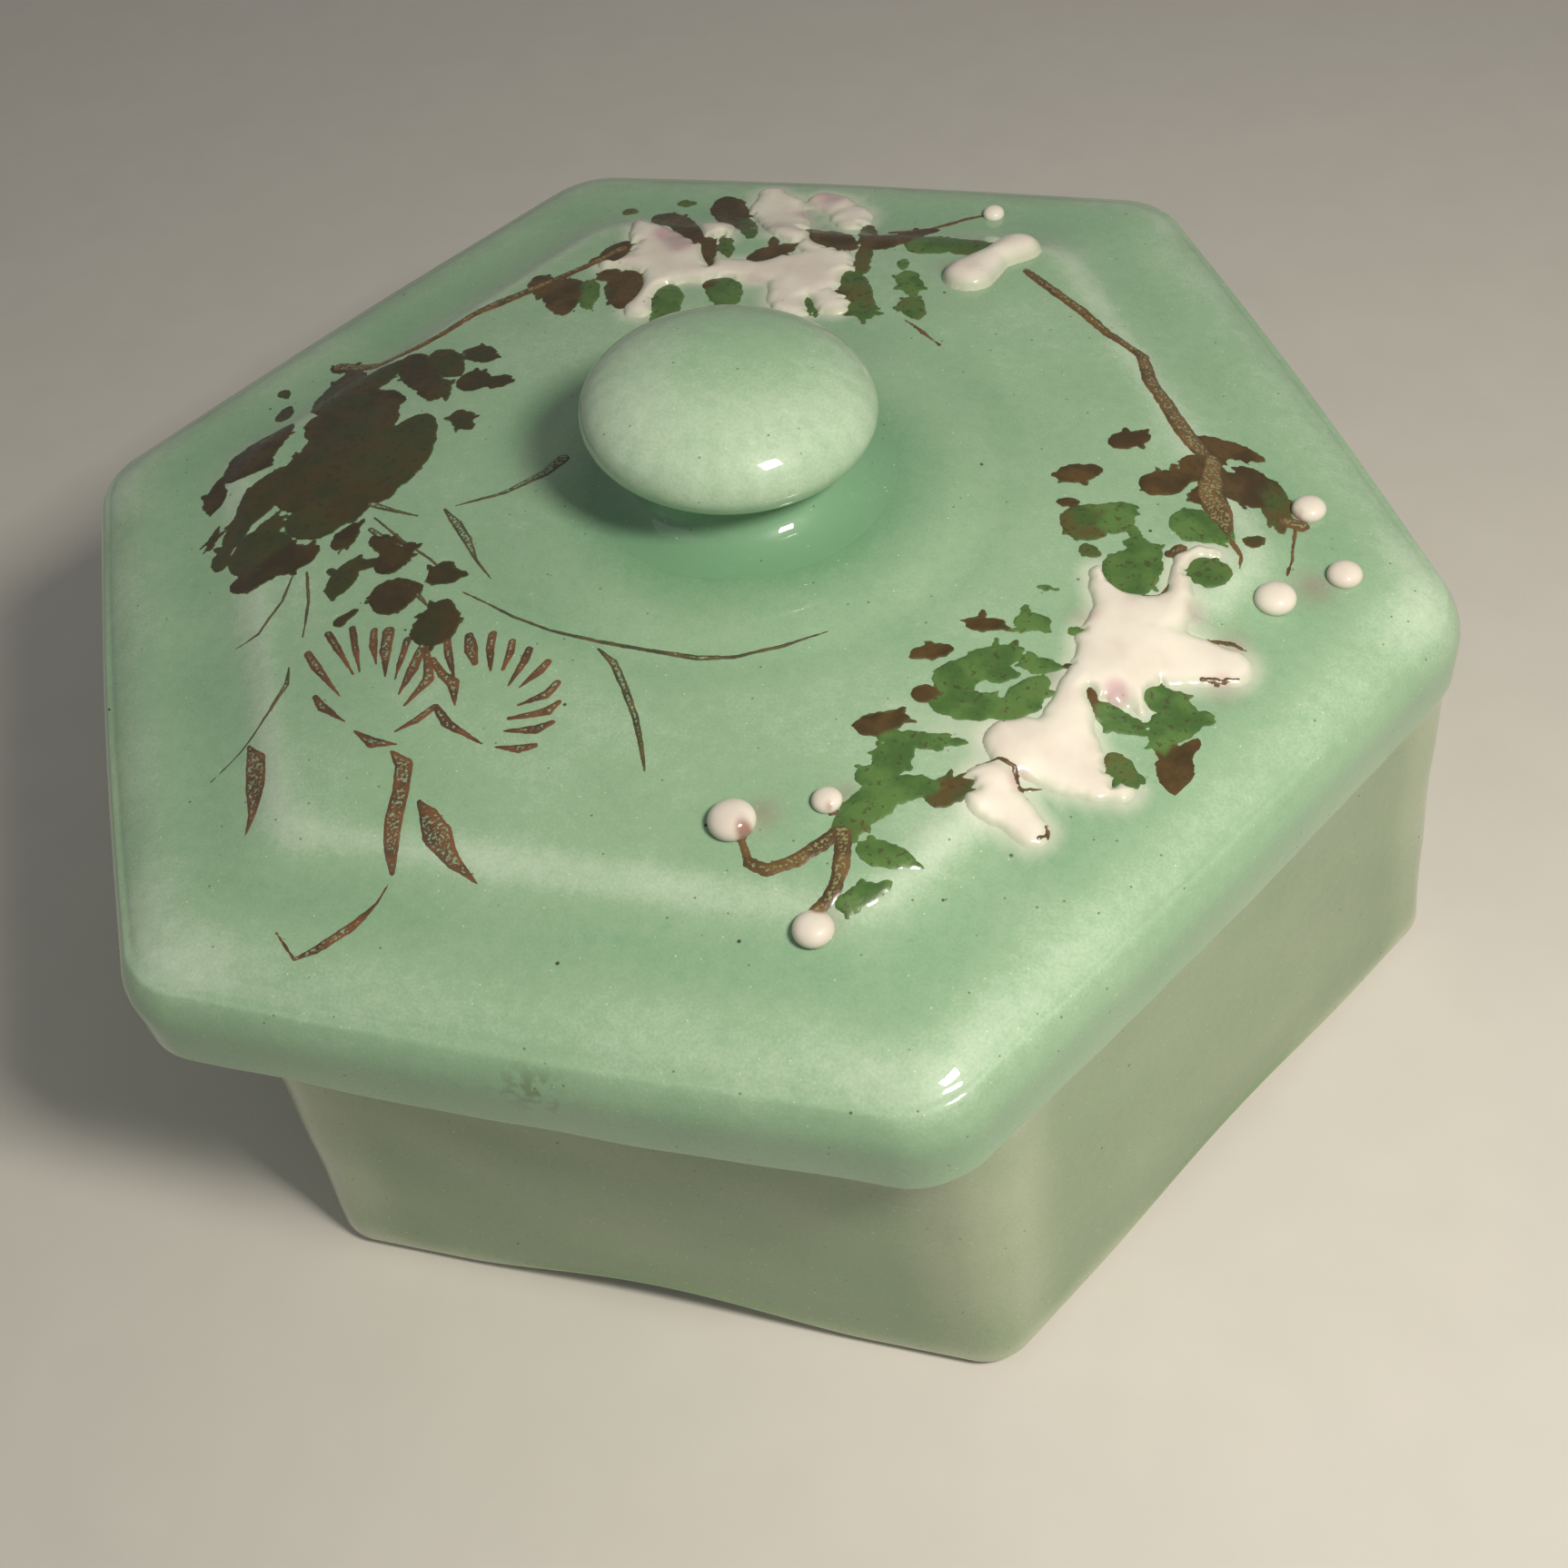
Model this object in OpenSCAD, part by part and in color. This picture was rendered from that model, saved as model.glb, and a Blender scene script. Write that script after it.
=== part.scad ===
// Hexagonal porcelain trinket box with a loose lid, a mushroom knob and raised flower decoration.
// Frame: +Z up, origin on the table under the middle of the lid, +X through one corner.

/* [Box] */
// Width of the box across its flats, at the mouth
box_af = 83.8; // [70:0.2:110]
// Height of the box from the table to the seat of the lid
box_h = 27.8; // [23:0.2:40]
// How much wider the box is across its flats at the foot than at the mouth
foot_spread = 1.8; // [0:0.2:3]
// Thickness of the box wall
wall = 3; // [2.4:0.1:4]
// Thickness of the floor
floor_t = 3.4; // [2.5:0.1:5]
// Plan radius of the box's upright corners
box_corner_r = 5.6; // [4.5:0.1:8]
// Radius where the wall turns under to the foot
foot_round = 1.2; // [0.6:0.1:2]
// Width of the foot ring that the box stands on
foot_w = 4.6; // [3.5:0.1:6]
// Depth of the hollow under the floor
foot_recess = 2.2; // [1.6:0.1:3]
// Height of the shallow arch between two corner feet
arch_h = 1.9; // [1:0.1:2]
// Length of each arch
arch_len = 28; // [18:1:34]

/* [Lid] */
// How far the lid stands out past the box on each side when it is centred
overhang = 3.1; // [1.5:0.1:5]
// Height of the lid's rim, from the seat to where the rim meets the sloping border
rim_h = 8.2; // [6.8:0.1:11]
// Radius of the rim's soft shoulder
shoulder_r = 4.9; // [3:0.1:5.5]
// Plan radius of the lid's corners
lid_corner_r = 5.9; // [5.5:0.1:8]
// Outward bow of each side of the lid at its middle
side_bow = 0.4; // [0:0.1:0.8]
// Width of the sloping border between the rim and the raised panel
border_w = 12.4; // [10:0.2:16]
// Rise of the sloping border
border_rise = 1.6; // [1:0.1:3]
// Rise of the domed panel above its edge
dome_rise = 1.8; // [1:0.1:4]
// Thickness of the lid over its hollow
lid_t = 3.6; // [3:0.1:5]

/* [Fit] */
// Loose play of the locating flange inside the box mouth, each way
seat_play = 3.5; // [1.5:0.1:4.5]
// Smallest gap left between the flange and the wall when the lid has slid across
slide_gap = 0.75; // [0.3:0.05:1.2]
// Thickness of the locating flange
flange_t = 2.4; // [1.8:0.1:3.5]
// How far the flange reaches down into the box
flange_drop = 2.6; // [1.5:0.1:4]

/* [Knob] */
// Radius of the knob's cap
knob_r = 10.2; // [8:0.1:14]
// Height of the cap above its widest line
cap_up = 4.7; // [3:0.1:7]
// Height of the cap below its widest line
cap_down = 4; // [2.5:0.1:5]
// Radius of the neck at its waist
neck_r = 6.9; // [5:0.1:7.5]
// Height of the waist above the lid
waist_h = 2.3; // [1.5:0.1:4]
// Radius of the neck's flare where it meets the lid
flare_r = 10.4; // [9:0.1:14]
// Height of the cap's widest line above the lid
cap_h = 5.7; // [5.4:0.1:8]

/* [Decoration] */
// Height of the white slip flowers above the glaze
slip_rise = 0.8; // [0.4:0.1:1.5]
// Height of the painted enamel above the glaze
enamel_rise = 0.15; // [0.1:0.05:0.4]
// How deep the decoration is keyed into the lid
key_depth = 0.7; // [0.5:0.1:1]

/* [Hidden] */

$fn = 48;
corner_steps = 5;
bowed_steps = 8;
eps = 0.5;

// The box
box_a = box_af / 2;
foot_a = box_a + foot_spread / 2;
mouth_a = box_a - wall;
mouth_round = 0.6;
floor_z = foot_recess + floor_t;
floor_round = 2.5;

// The lid, in its own frame: its middle on the seat
lid_a = box_a + overhang;
border_a = lid_a - shoulder_r;
panel_a = lid_a - border_w;
panel_z = rim_h + border_rise;
crown_z = panel_z + dome_rise;
flange_a = mouth_a - seat_play;
hollow_a = flange_a - flange_t;
panel_corner_r = 3;
hollow_corner_r = 3;

// The lid has slid across its play, so the box stands this far off its middle, towards the right corner
box_shift = (seat_play - slide_gap) / cos(30);

// The flowers were laid out on a lid of this width across flats, and follow its size
drawn_af = 90;
art = 2 * lid_a / drawn_af;

// The knob was luted on a little off centre and leans
knob_at = [2.5 * art, 1 * art];
knob_lean = [-2.7, 4, 0];
knob_sink = 1.2;

celadon = "#9CC6A4";
celadon_shade = "#86B492";
slip_white = "#EDE6DF";
leaf_green = "#4E7A3A";
leaf_olive = "#4A4526";
bark_brown = "#5A4328";
fan_brown = "#7A4A26";

// Points on one rounded hexagon, level at z, with its sides bowed out in short steps
function hex_ring(a, r, z, bow = 0, steps = 1) =
    let (hub = (a - r) / cos(30), half = (a - r) * tan(30))
    [for (k = [0:5]) each concat(
        [for (i = [0:corner_steps])
            let (t = 60 * k - 30 + 60 * i / corner_steps)
            [hub * cos(60 * k) + r * cos(t), hub * sin(60 * k) + r * sin(t), z]],
        [for (i = [1:1:steps - 1])
            let (s = half * (2 * i / steps - 1), n = 60 * k + 30)
            let (out = a + bow * cos(90 * s / half))
            [out * cos(n) - s * sin(n), out * sin(n) + s * cos(n), z]]
    )];

// Skins a stack of rings into one closed shell, from a first point to a last point
module skin(first, rings, last) {
    n = len(rings[0]);
    m = len(rings);
    end = n * m + 1;
    points = concat([first], [for (ring = rings) each ring], [last]);
    faces = concat(
        [for (i = [0:n - 1]) [0, 1 + i, 1 + (i + 1) % n]],
        [for (j = [0:m - 2]) for (i = [0:n - 1]) [1 + j * n + i, 1 + (j + 1) * n + i, 1 + j * n + (i + 1) % n]],
        [for (j = [0:m - 2]) for (i = [0:n - 1])
            [1 + j * n + (i + 1) % n, 1 + (j + 1) * n + i, 1 + (j + 1) * n + (i + 1) % n]],
        [for (i = [0:n - 1]) [end, 1 + (m - 1) * n + (i + 1) % n, 1 + (m - 1) * n + i]]
    );
    polyhedron(points, faces, convexity = 6);
}

// Height of the lid's top above the seat at a distance a from the middle, square to the nearest side
function lid_rise(a) = a <= panel_a
    ? crown_z - dome_rise * pow(a / panel_a, 2)
    : panel_z - border_rise * (a - panel_a) / (border_a - panel_a);
function hex_distance(x, y) = max([for (t = [30:60:330]) x * cos(t) + y * sin(t)]);
function lid_top(x, y) = lid_rise(hex_distance(x, y));

// Places its children on the lid's top at a drawn point, square to the surface
module on_lid(at) {
    x = at[0] * art;
    y = at[1] * art;
    probe = 1;
    sx = (lid_top(x + probe, y) - lid_top(x - probe, y)) / (2 * probe);
    sy = (lid_top(x, y + probe) - lid_top(x, y - probe)) / (2 * probe);
    translate([x, y, lid_top(x, y)]) rotate([atan(sy), -atan(sx), 0]) scale(art) children();
}

module lid_frame() {
    translate([0, 0, box_h]) children();
}

// A flat pad of slip or enamel, keyed into the lid
module pad(rise, depth = key_depth) {
    translate([0, 0, -depth / art]) linear_extrude((depth + rise) / art) children();
}

// A blunt limb between two drawn points, each with its own radius
module limb(p, q) {
    d = [q[0] - p[0], q[1] - p[1]];
    n = [-d[1], d[0]] / norm(d);
    polygon([[p[0], p[1]] + n * p[2], [p[0], p[1]] - n * p[2], [q[0], q[1]] - n * q[2], [q[0], q[1]] + n * q[2]]);
    translate([p[0], p[1]]) circle(p[2]);
    translate([q[0], q[1]]) circle(q[2]);
}

// A mass of slip about a drawn point, made of limbs between [x, y, radius] stations
module slip_mass(middle, limbs) {
    on_lid(middle) pad(slip_rise) translate(-middle)
        for (path = limbs) for (i = [0:len(path) - 2]) limb(path[i], path[i + 1]);
}

// A round bud that stands proud of the glaze
module bud(at, r) {
    on_lid(at) intersection() {
        translate([0, 0, -r * 0.35]) sphere(r);
        translate([0, 0, r * 0.5 - key_depth]) cube([3 * r, 3 * r, r + key_depth * 2], center = true);
    }
}

// A pointed leaf: [x, y, direction, length, width], drawn from its stalk to its tip
module leaf(d) {
    l = d[3];
    w = d[4] / 2;
    on_lid([d[0], d[1]]) rotate(d[2]) pad(enamel_rise)
        polygon([[-l / 2, 0], [-l * 0.3, w * 0.8], [0, w], [l * 0.3, w * 0.55],
            [l / 2, 0], [l * 0.3, -w * 0.55], [0, -w], [-l * 0.3, -w * 0.8]]);
}

// A brush stroke through drawn points, each piece of it laid square on the lid
module stroke(points, width) {
    for (i = [0:len(points) - 2]) {
        p = points[i];
        q = points[i + 1];
        middle = (p + q) / 2;
        d = q - p;
        on_lid(middle) rotate(atan2(d[1], d[0])) pad(enamel_rise) square([norm(d), width], center = true);
    }
}

// One shallow arch right under the box, from side to side
module foot_arch() {
    steps = 12;
    rotate([90, 0, 0]) linear_extrude(2 * foot_a + 2, center = true) polygon(concat(
        [[arch_len / 2, -eps], [-arch_len / 2, -eps]],
        [for (i = [0:steps]) let (x = arch_len * (i / steps - 0.5))
            [x, arch_h * (1 + cos(360 * x / arch_len)) / 2]]
    ));
}

module box_body() {
    inner_r = box_corner_r - wall + mouth_round;
    color(celadon_shade) translate([box_shift, 0, 0]) difference() {
        skin(
            [0, 0, foot_recess],
            [
                hex_ring(foot_a - foot_w - 0.4, box_corner_r - 2, foot_recess),
                hex_ring(foot_a - foot_w, box_corner_r - 2, 0),
                hex_ring(foot_a - foot_round, box_corner_r - foot_round * 0.6, 0),
                hex_ring(foot_a - foot_round * 0.3, box_corner_r - foot_round * 0.2, foot_round * 0.3),
                hex_ring(foot_a, box_corner_r, foot_round),
                hex_ring(box_a, box_corner_r, box_h - mouth_round),
                hex_ring(box_a - mouth_round, box_corner_r - mouth_round * 0.5, box_h),
                hex_ring(mouth_a + mouth_round, inner_r, box_h),
                hex_ring(mouth_a, inner_r, box_h - mouth_round),
                hex_ring(mouth_a, inner_r, floor_z + floor_round),
                hex_ring(mouth_a - floor_round * 0.3, inner_r, floor_z + floor_round * 0.3),
                hex_ring(mouth_a - floor_round, inner_r, floor_z)
            ],
            [0, 0, floor_z]
        );
        for (t = [0, 60, 120]) rotate(t) foot_arch();
    }
}

module lid_cover() {
    shoulder = [for (t = [0:15:75]) [border_a + shoulder_r * cos(t), rim_h - shoulder_r + shoulder_r * sin(t)]];
    color(celadon) lid_frame() difference() {
        skin(
            [0, 0, 0],
            concat(
                [hex_ring(lid_a, lid_corner_r, 0, side_bow, bowed_steps)],
                [for (p = shoulder) hex_ring(p[0], lid_corner_r - (lid_a - p[0]) * 0.6, p[1],
                    side_bow * (p[0] - panel_a) / border_w, bowed_steps)],
                [
                    hex_ring(border_a, lid_corner_r - shoulder_r * 0.6, rim_h,
                        side_bow * (border_a - panel_a) / border_w, bowed_steps),
                    hex_ring(panel_a, panel_corner_r, panel_z, 0, bowed_steps),
                    hex_ring(panel_a * 0.7, panel_corner_r, lid_rise(panel_a * 0.7), 0, bowed_steps),
                    hex_ring(panel_a * 0.35, panel_corner_r, lid_rise(panel_a * 0.35), 0, bowed_steps)
                ]
            ),
            [0, 0, crown_z]
        );
        translate([0, 0, -eps]) linear_extrude(panel_z - lid_t + eps) hex_outline(hollow_a, hollow_corner_r);
        translate([0, 0, panel_z - lid_t - eps]) cylinder(h = dome_rise * 0.8 + eps, r1 = hollow_a - 1, r2 = flare_r);
    }
}

// A rounded hexagon as a flat outline
module hex_outline(a, r) {
    polygon([for (p = hex_ring(a, r, 0)) [p[0], p[1]]]);
}

module locating_flange() {
    color(celadon_shade) lid_frame() translate([0, 0, -flange_drop]) difference() {
        linear_extrude(flange_drop) hex_outline(flange_a, hollow_corner_r + flange_t / 2);
        translate([0, 0, -1]) linear_extrude(flange_drop + 2) hex_outline(flange_a - flange_t, hollow_corner_r);
    }
}

module knob() {
    seat = lid_top(knob_at[0], knob_at[1]);
    neck = [for (t = [0:15:90]) [neck_r + (flare_r - neck_r) * (1 - sin(t)), waist_h * (1 - cos(t))]];
    under = [for (t = [-60:10:0]) [knob_r * cos(t), cap_h + cap_down * sin(t)]];
    over = [for (t = [10:10:80]) [knob_r * cos(t), cap_h + cap_up * sin(t)]];
    color(celadon) lid_frame() translate([knob_at[0], knob_at[1], seat]) rotate(knob_lean)
        rotate_extrude() polygon(concat(
            [[0, -knob_sink], [flare_r, -knob_sink]], neck,
            [[neck_r, cap_h - cap_down]], under, over, [[0, cap_h + cap_up]]
        ));
}

module side_blossom() {
    color(slip_white) lid_frame() slip_mass([30, -13], [
        [[34, -1.4, 0.9], [32.9, -4, 1.3], [30.5, -8.5, 2.6], [30.8, -10, 2.9], [36.8, -9.6, 1.4]],
        [[28.2, -4.6, 1.2], [29.8, -7.8, 2.2]],
        [[30.6, -10, 2.6], [28.4, -15.5, 1.7], [25.6, -18.6, 2.1], [28.6, -20, 2], [31.2, -20.4, 1]],
        [[24.6, -21.8, 1.3], [23.8, -23.8, 1.3], [27, -24.8, 1.2]]
    ]);
}

module back_blossom() {
    color(slip_white) lid_frame() {
        slip_mass([-9, 27], [
            [[-15, 31, 1.3], [-13, 28.5, 2.2], [-9, 26.6, 1.8], [-3.5, 25.8, 1.2], [0, 27, 3.2], [1.5, 23, 1.8]],
            [[-11, 25.5, 1.2], [-11.4, 20.5, 1]]
        ]);
        slip_mass([-4, 36], [[[-5.5, 38.2, 1.6], [-3.2, 33.4, 1.1]], [[-2, 38.6, 1.1], [1, 36.4, 1.4]]]);
    }
}

module slip_buds() {
    color(slip_white) lid_frame() {
        bud([9.8, -28.2], 1.5);
        bud([15, -25.8], 1.1);
        bud([16.2, -34.2], 1.3);
        bud([39.1, -3.4], 1.3);
        bud([43.2, -0.3], 1.1);
        bud([40.3, 5.6], 1.2);
        bud([12.6, 38.3], 1);
        slip_mass([14.5, 29], [[[13, 27, 1.9], [15.8, 31.5, 1.8]]]);
    }
}

module side_leaves() {
    color(leaf_green) lid_frame() {
        for (d = [
            [27, 9.6, 20, 3, 1.7], [25, 5.4, 25, 3, 1.8], [24.8, 2.1, 10, 1.6, 0.8], [26.8, 0.8, 60, 4.4, 3.8],
            [27, -2.2, -20, 1.6, 1.2], [30, -3.2, 70, 4.2, 3.6], [34.9, -2.5, 0, 2.8, 2.6],
            [34, 1.2, 100, 3.6, 4], [37.4, 1.2, 50, 1.8, 1], [34.5, 11, -10, 4.6, 2.2],
            [30.6, 5.8, 40, 3.6, 2.4], [34.5, 7.2, 0, 5, 3.4], [38, 5.4, -70, 5.6, 2.4],
            [24.8, -6, 0, 1.4, 0.6], [24.2, -9, 20, 2, 1.4], [21.4, -9.8, 15, 2.2, 1.3],
            [18.8, -12.8, 20, 2.2, 1.3], [23, -12.8, 55, 4.4, 2.6], [21, -14.8, 30, 5.2, 3.2],
            [24.6, -15.2, 40, 3.6, 2.8], [16.8, -19.2, 25, 3.2, 1.7], [18.8, -21, 60, 4.4, 2.4],
            [19.2, -23.4, 10, 5, 2.2], [22, -23, 30, 2.6, 2.2], [17, -25.6, 60, 4.6, 2.4],
            [19.2, -28.7, 5, 3.2, 1.7], [18.7, -31.8, 30, 2.8, 1.4], [33.8, -14.2, 80, 5, 2.4],
            [35, -18.6, 70, 3.6, 2.4], [30.4, -15.2, -50, 4, 1.7], [31.6, -19, -50, 3, 1.8]
        ]) leaf(d);
    }
}

module left_leaves() {
    color(leaf_olive) lid_frame() {
        for (d = [
            [-24.6, 1, 80, 9, 6], [-30, 4, 95, 13, 5.6], [-33, 9.5, 80, 7.5, 4.4], [-36.4, 1.6, 70, 7, 3.2],
            [-38.3, -3.4, 100, 3.6, 1.8], [-29.6, -4.4, 90, 9, 7], [-34, -4.8, 95, 7.6, 3.6],
            [-34.9, -8.8, 85, 3.6, 1.7], [-36.6, -7.2, 90, 2.4, 1], [-31.4, -9.4, 30, 5.4, 4.4],
            [-28.6, -10, 20, 4.4, 3.4], [-30.8, -12, 10, 4, 2.2], [-26.8, 10.8, -45, 7.4, 3],
            [-24.4, 9, -65, 3.2, 1.3], [-21.8, 10.2, -10, 3, 2.4], [-19.8, 10.2, 10, 2, 1.7],
            [-22.6, 13.6, -30, 2.8, 2.2], [-20.8, 5.4, -40, 2.8, 1.6], [-37.2, 7, 100, 2.2, 1.7],
            [-38.6, 9.6, -40, 1.6, 1], [-25, -7.6, 75, 2.8, 1.8], [-20.6, -8.8, -20, 5.4, 2.6],
            [-23.6, -11.4, 80, 4.2, 2.2], [-18.8, -12.9, 20, 3.4, 3.2], [-16.1, -10.9, -20, 2.6, 2.2],
            [-14.8, -15, 80, 4.6, 3], [-21.7, -15.3, 50, 2, 1]
        ]) leaf(d);
    }
}

module back_leaves() {
    color(leaf_green) lid_frame() {
        for (d = [
            [-16.6, 28, 70, 4, 1.7], [-21.2, 21.6, -70, 5.4, 2.6], [-17.8, 21.6, -60, 5.6, 2.8],
            [-13.4, 23, -75, 5, 2.2], [-9.4, 20.6, -80, 5.6, 2], [-5.4, 22.6, -65, 4.8, 1.9],
            [-8.4, 29, -70, 3.6, 1.2], [-3.4, 29.6, -20, 3.4, 2], [-11.4, 32, -45, 5.6, 2.2],
            [-13.6, 34.2, 0, 4, 2], [-13.6, 37.8, 10, 1.8, 1], [-18, 36, 0, 1.6, 1],
            [-8, 35, -70, 6, 2], [0.8, 31.6, 0, 4, 2.2], [4, 31, -75, 6, 1.7], [7.6, 33.6, 10, 5, 2],
            [11.4, 32.4, -10, 5, 2.6], [5.4, 23.4, -60, 5.6, 2], [9, 23.4, -75, 5.6, 1.8]
        ]) leaf(d);
    }
}

module branches() {
    color(bark_brown) lid_frame() {
        stroke([[17.2, 28.4], [20, 25.8], [24.4, 21.8], [27.4, 19.6]], 0.9);
        stroke([[27.4, 19.6], [28.6, 15.8], [30.6, 12.8], [32.6, 10.4]], 1.2);
        stroke([[33.4, 9.4], [34.2, 4.6]], 1.4);
        stroke([[-35.4, 13.4], [-31, 12.8], [-28, 14.8], [-26, 18], [-24, 20.4], [-20, 24]], 0.9);
        stroke([[11, -29.9], [12.4, -30.9], [14.6, -29.9], [16, -28.2]], 0.7);
        stroke([[16.4, -28.4], [16.9, -30.5], [16.6, -32.8]], 0.9);
        stroke([[9.2, 20.4], [12.4, 17.9]], 0.3);
    }
}

// One petal stroke of a fan flower, from its hub at an angle
module petal(hub, angle, near, far) {
    at = hub + (near + far) / 2 * [cos(angle), sin(angle)];
    on_lid(at) rotate(angle) pad(enamel_rise)
        polygon([[-(far - near) / 2, 0.12], [(far - near) * 0.35, 0.35], [(far - near) / 2, 0],
            [(far - near) * 0.35, -0.35], [-(far - near) / 2, -0.12]]);
}

module fan_flowers() {
    color(fan_brown) lid_frame() {
        for (t = [38:14:164]) petal([-16.2, -24.6], t, 4.2, 8.4);
        for (t = [-4:13:113]) petal([-9.4, -23.8], t, 3, 6.8);
        stroke([[-14.2, -24.6], [-12, -22.4], [-8, -24.7]], 0.6);
        stroke([[-16.8, -25], [-15, -26], [-13.6, -25.7]], 0.7);
        stroke([[-13.4, -26.4], [-12, -28.6], [-11.6, -31.4], [-10.8, -34]], 1.1);
        stroke([[-10.8, -36.6], [-12.8, -39.4], [-14.6, -41.2], [-16.4, -39.6]], 0.6);
        leaf([-7.8, -32, -48, 6.6, 1.9]);
        leaf([-22.6, -29, -68, 6.8, 1.7]);
    }
}

module tendrils() {
    color(fan_brown) lid_frame() {
        stroke([[-14, -12.2], [-10, -14], [-5, -15.3], [0, -15.9], [4, -16], [8, -14.9], [11.8, -12.7]], 0.3);
        stroke([[-2.8, -16.2], [-0.6, -18.2], [1.6, -21.4], [3, -25]], 0.4);
        stroke([[-12, -0.8], [-14.4, -2.6], [-17.6, -4]], 0.35);
        stroke([[-18.4, -4.5], [-15.6, -7.4], [-12.4, -10.9]], 0.4);
        stroke([[-27.4, -11.6], [-27.2, -15], [-29.2, -18]], 0.25);
        stroke([[-26.6, -11.4], [-25, -14.4], [-24.2, -17.4]], 0.25);
        stroke([[-24, -20.2], [-23.6, -22.6], [-24.6, -26], [-26, -29]], 0.35);
    }
}

box_body();
lid_cover();
locating_flange();
knob();
side_blossom();
back_blossom();
slip_buds();
side_leaves();
left_leaves();
back_leaves();
branches();
fan_flowers();
tendrils();
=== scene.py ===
# %% [markdown]
# # A hexagonal celadon trinket box
# The object is a small lidded box of glazed porcelain. A thick, milky green glaze covers it, and flowering
# branches are built up on the lid in white slip and painted enamel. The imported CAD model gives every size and
# place. This notebook builds finer surfaces in the same places and gives them their ceramic finishes.

# %% Load the frame
import math

import bpy
import numpy as np
from mathutils import Matrix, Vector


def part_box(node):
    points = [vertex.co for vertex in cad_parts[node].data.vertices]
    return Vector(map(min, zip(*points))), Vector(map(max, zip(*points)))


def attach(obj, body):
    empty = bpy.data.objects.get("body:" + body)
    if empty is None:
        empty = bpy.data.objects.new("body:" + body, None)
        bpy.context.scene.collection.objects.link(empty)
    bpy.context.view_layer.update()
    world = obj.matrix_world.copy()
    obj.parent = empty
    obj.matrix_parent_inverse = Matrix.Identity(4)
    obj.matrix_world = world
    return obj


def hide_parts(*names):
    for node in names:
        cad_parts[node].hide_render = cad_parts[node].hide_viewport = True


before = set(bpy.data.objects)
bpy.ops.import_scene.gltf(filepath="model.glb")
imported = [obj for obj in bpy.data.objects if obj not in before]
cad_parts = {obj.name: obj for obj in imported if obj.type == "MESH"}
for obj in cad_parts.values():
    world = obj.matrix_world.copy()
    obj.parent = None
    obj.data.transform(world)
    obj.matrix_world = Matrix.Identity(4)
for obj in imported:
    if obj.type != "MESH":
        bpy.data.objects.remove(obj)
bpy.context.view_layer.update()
MM = 0.001

# %% [markdown]
# ## The camera
# The eye is close to the box, about a hand's width away, as when someone looks down at it on a table. A close
# eye makes the near corner large and the far rim small, so the distance matters more than the lens. The three
# angles turn a level view first to the side, then down, and then tilt it.

# %% Camera
EYE = (42.0, -95.45, 126.2)
TURN, DOWN, TILT = math.radians(-22.99), math.radians(48.98), math.radians(10.48)
SENSOR = 36.0
LENS = 44.2


def look(turn, down, tilt):
    """The camera's right, up and backward directions, as the columns of a matrix."""
    ahead = np.array([math.sin(turn) * math.cos(down), math.cos(turn) * math.cos(down), -math.sin(down)])
    level = np.array([math.cos(turn), -math.sin(turn), 0.0])
    below = np.cross(ahead, level)
    right = math.cos(tilt) * level + math.sin(tilt) * below
    up = math.sin(tilt) * level - math.cos(tilt) * below
    return np.stack([right, up, -ahead], axis=1)


camera = bpy.data.objects.new("camera", bpy.data.cameras.new("camera"))
bpy.context.scene.collection.objects.link(camera)
camera.data.sensor_width = SENSOR
camera.data.lens = LENS
camera.data.clip_start = 0.01
camera.matrix_world = Matrix.Translation([v * MM for v in EYE]) @ Matrix(look(TURN, DOWN, TILT).tolist()).to_4x4()
bpy.context.scene.camera = camera
print("eye to lid centre:", round(math.dist(EYE, (0, 0, 38))), "mm")

# %% [markdown]
# ## A first helper for shapes
# Every wall of this box is a rounded hexagon that changes size with its height. So most of the mesh work is one
# idea: a stack of rings with the same number of points, skinned into a closed shell. A ring's points are spaced
# closely enough that the soft curves of the glaze are really in the mesh, and not faked by shading.

# %% Rings and skins
CORNER_STEPS = 14
SIDE_STEPS = 44


def hex_ring(apothem, corner, z, bow=0.0):
    """Points round a hexagon with rounded corners and slightly bowed sides. Returns x, y, z and the side share."""
    rows = []
    hub = (apothem - corner) / math.cos(math.radians(30))
    half = (apothem - corner) * math.tan(math.radians(30))
    for k in range(6):
        turn = math.radians(60 * k)
        for i in range(CORNER_STEPS):
            t = turn + math.radians(-30 + 60 * i / CORNER_STEPS)
            rows.append((hub * math.cos(turn) + corner * math.cos(t),
                         hub * math.sin(turn) + corner * math.sin(t), k, 1))
        n = turn + math.radians(30)
        for i in range(SIDE_STEPS):
            share = 2 * i / SIDE_STEPS - 1
            out = apothem + bow * math.cos(math.pi / 2 * share)
            s = half * share
            rows.append((out * math.cos(n) - s * math.sin(n), out * math.sin(n) + s * math.cos(n), k, abs(share)))
    rows = np.array(rows)
    return np.column_stack([rows[:, :2], np.full(len(rows), z), rows[:, 2:]])


def mesh_object(name, points, faces):
    """A smooth-shaded object from points in millimetres."""
    mesh = bpy.data.meshes.new(name)
    mesh.from_pydata((np.asarray(points) * MM).tolist(), [], faces)
    mesh.validate()
    mesh.polygons.foreach_set("use_smooth", [True] * len(mesh.polygons))
    obj = bpy.data.objects.new(name, mesh)
    bpy.context.scene.collection.objects.link(obj)
    return obj


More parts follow.
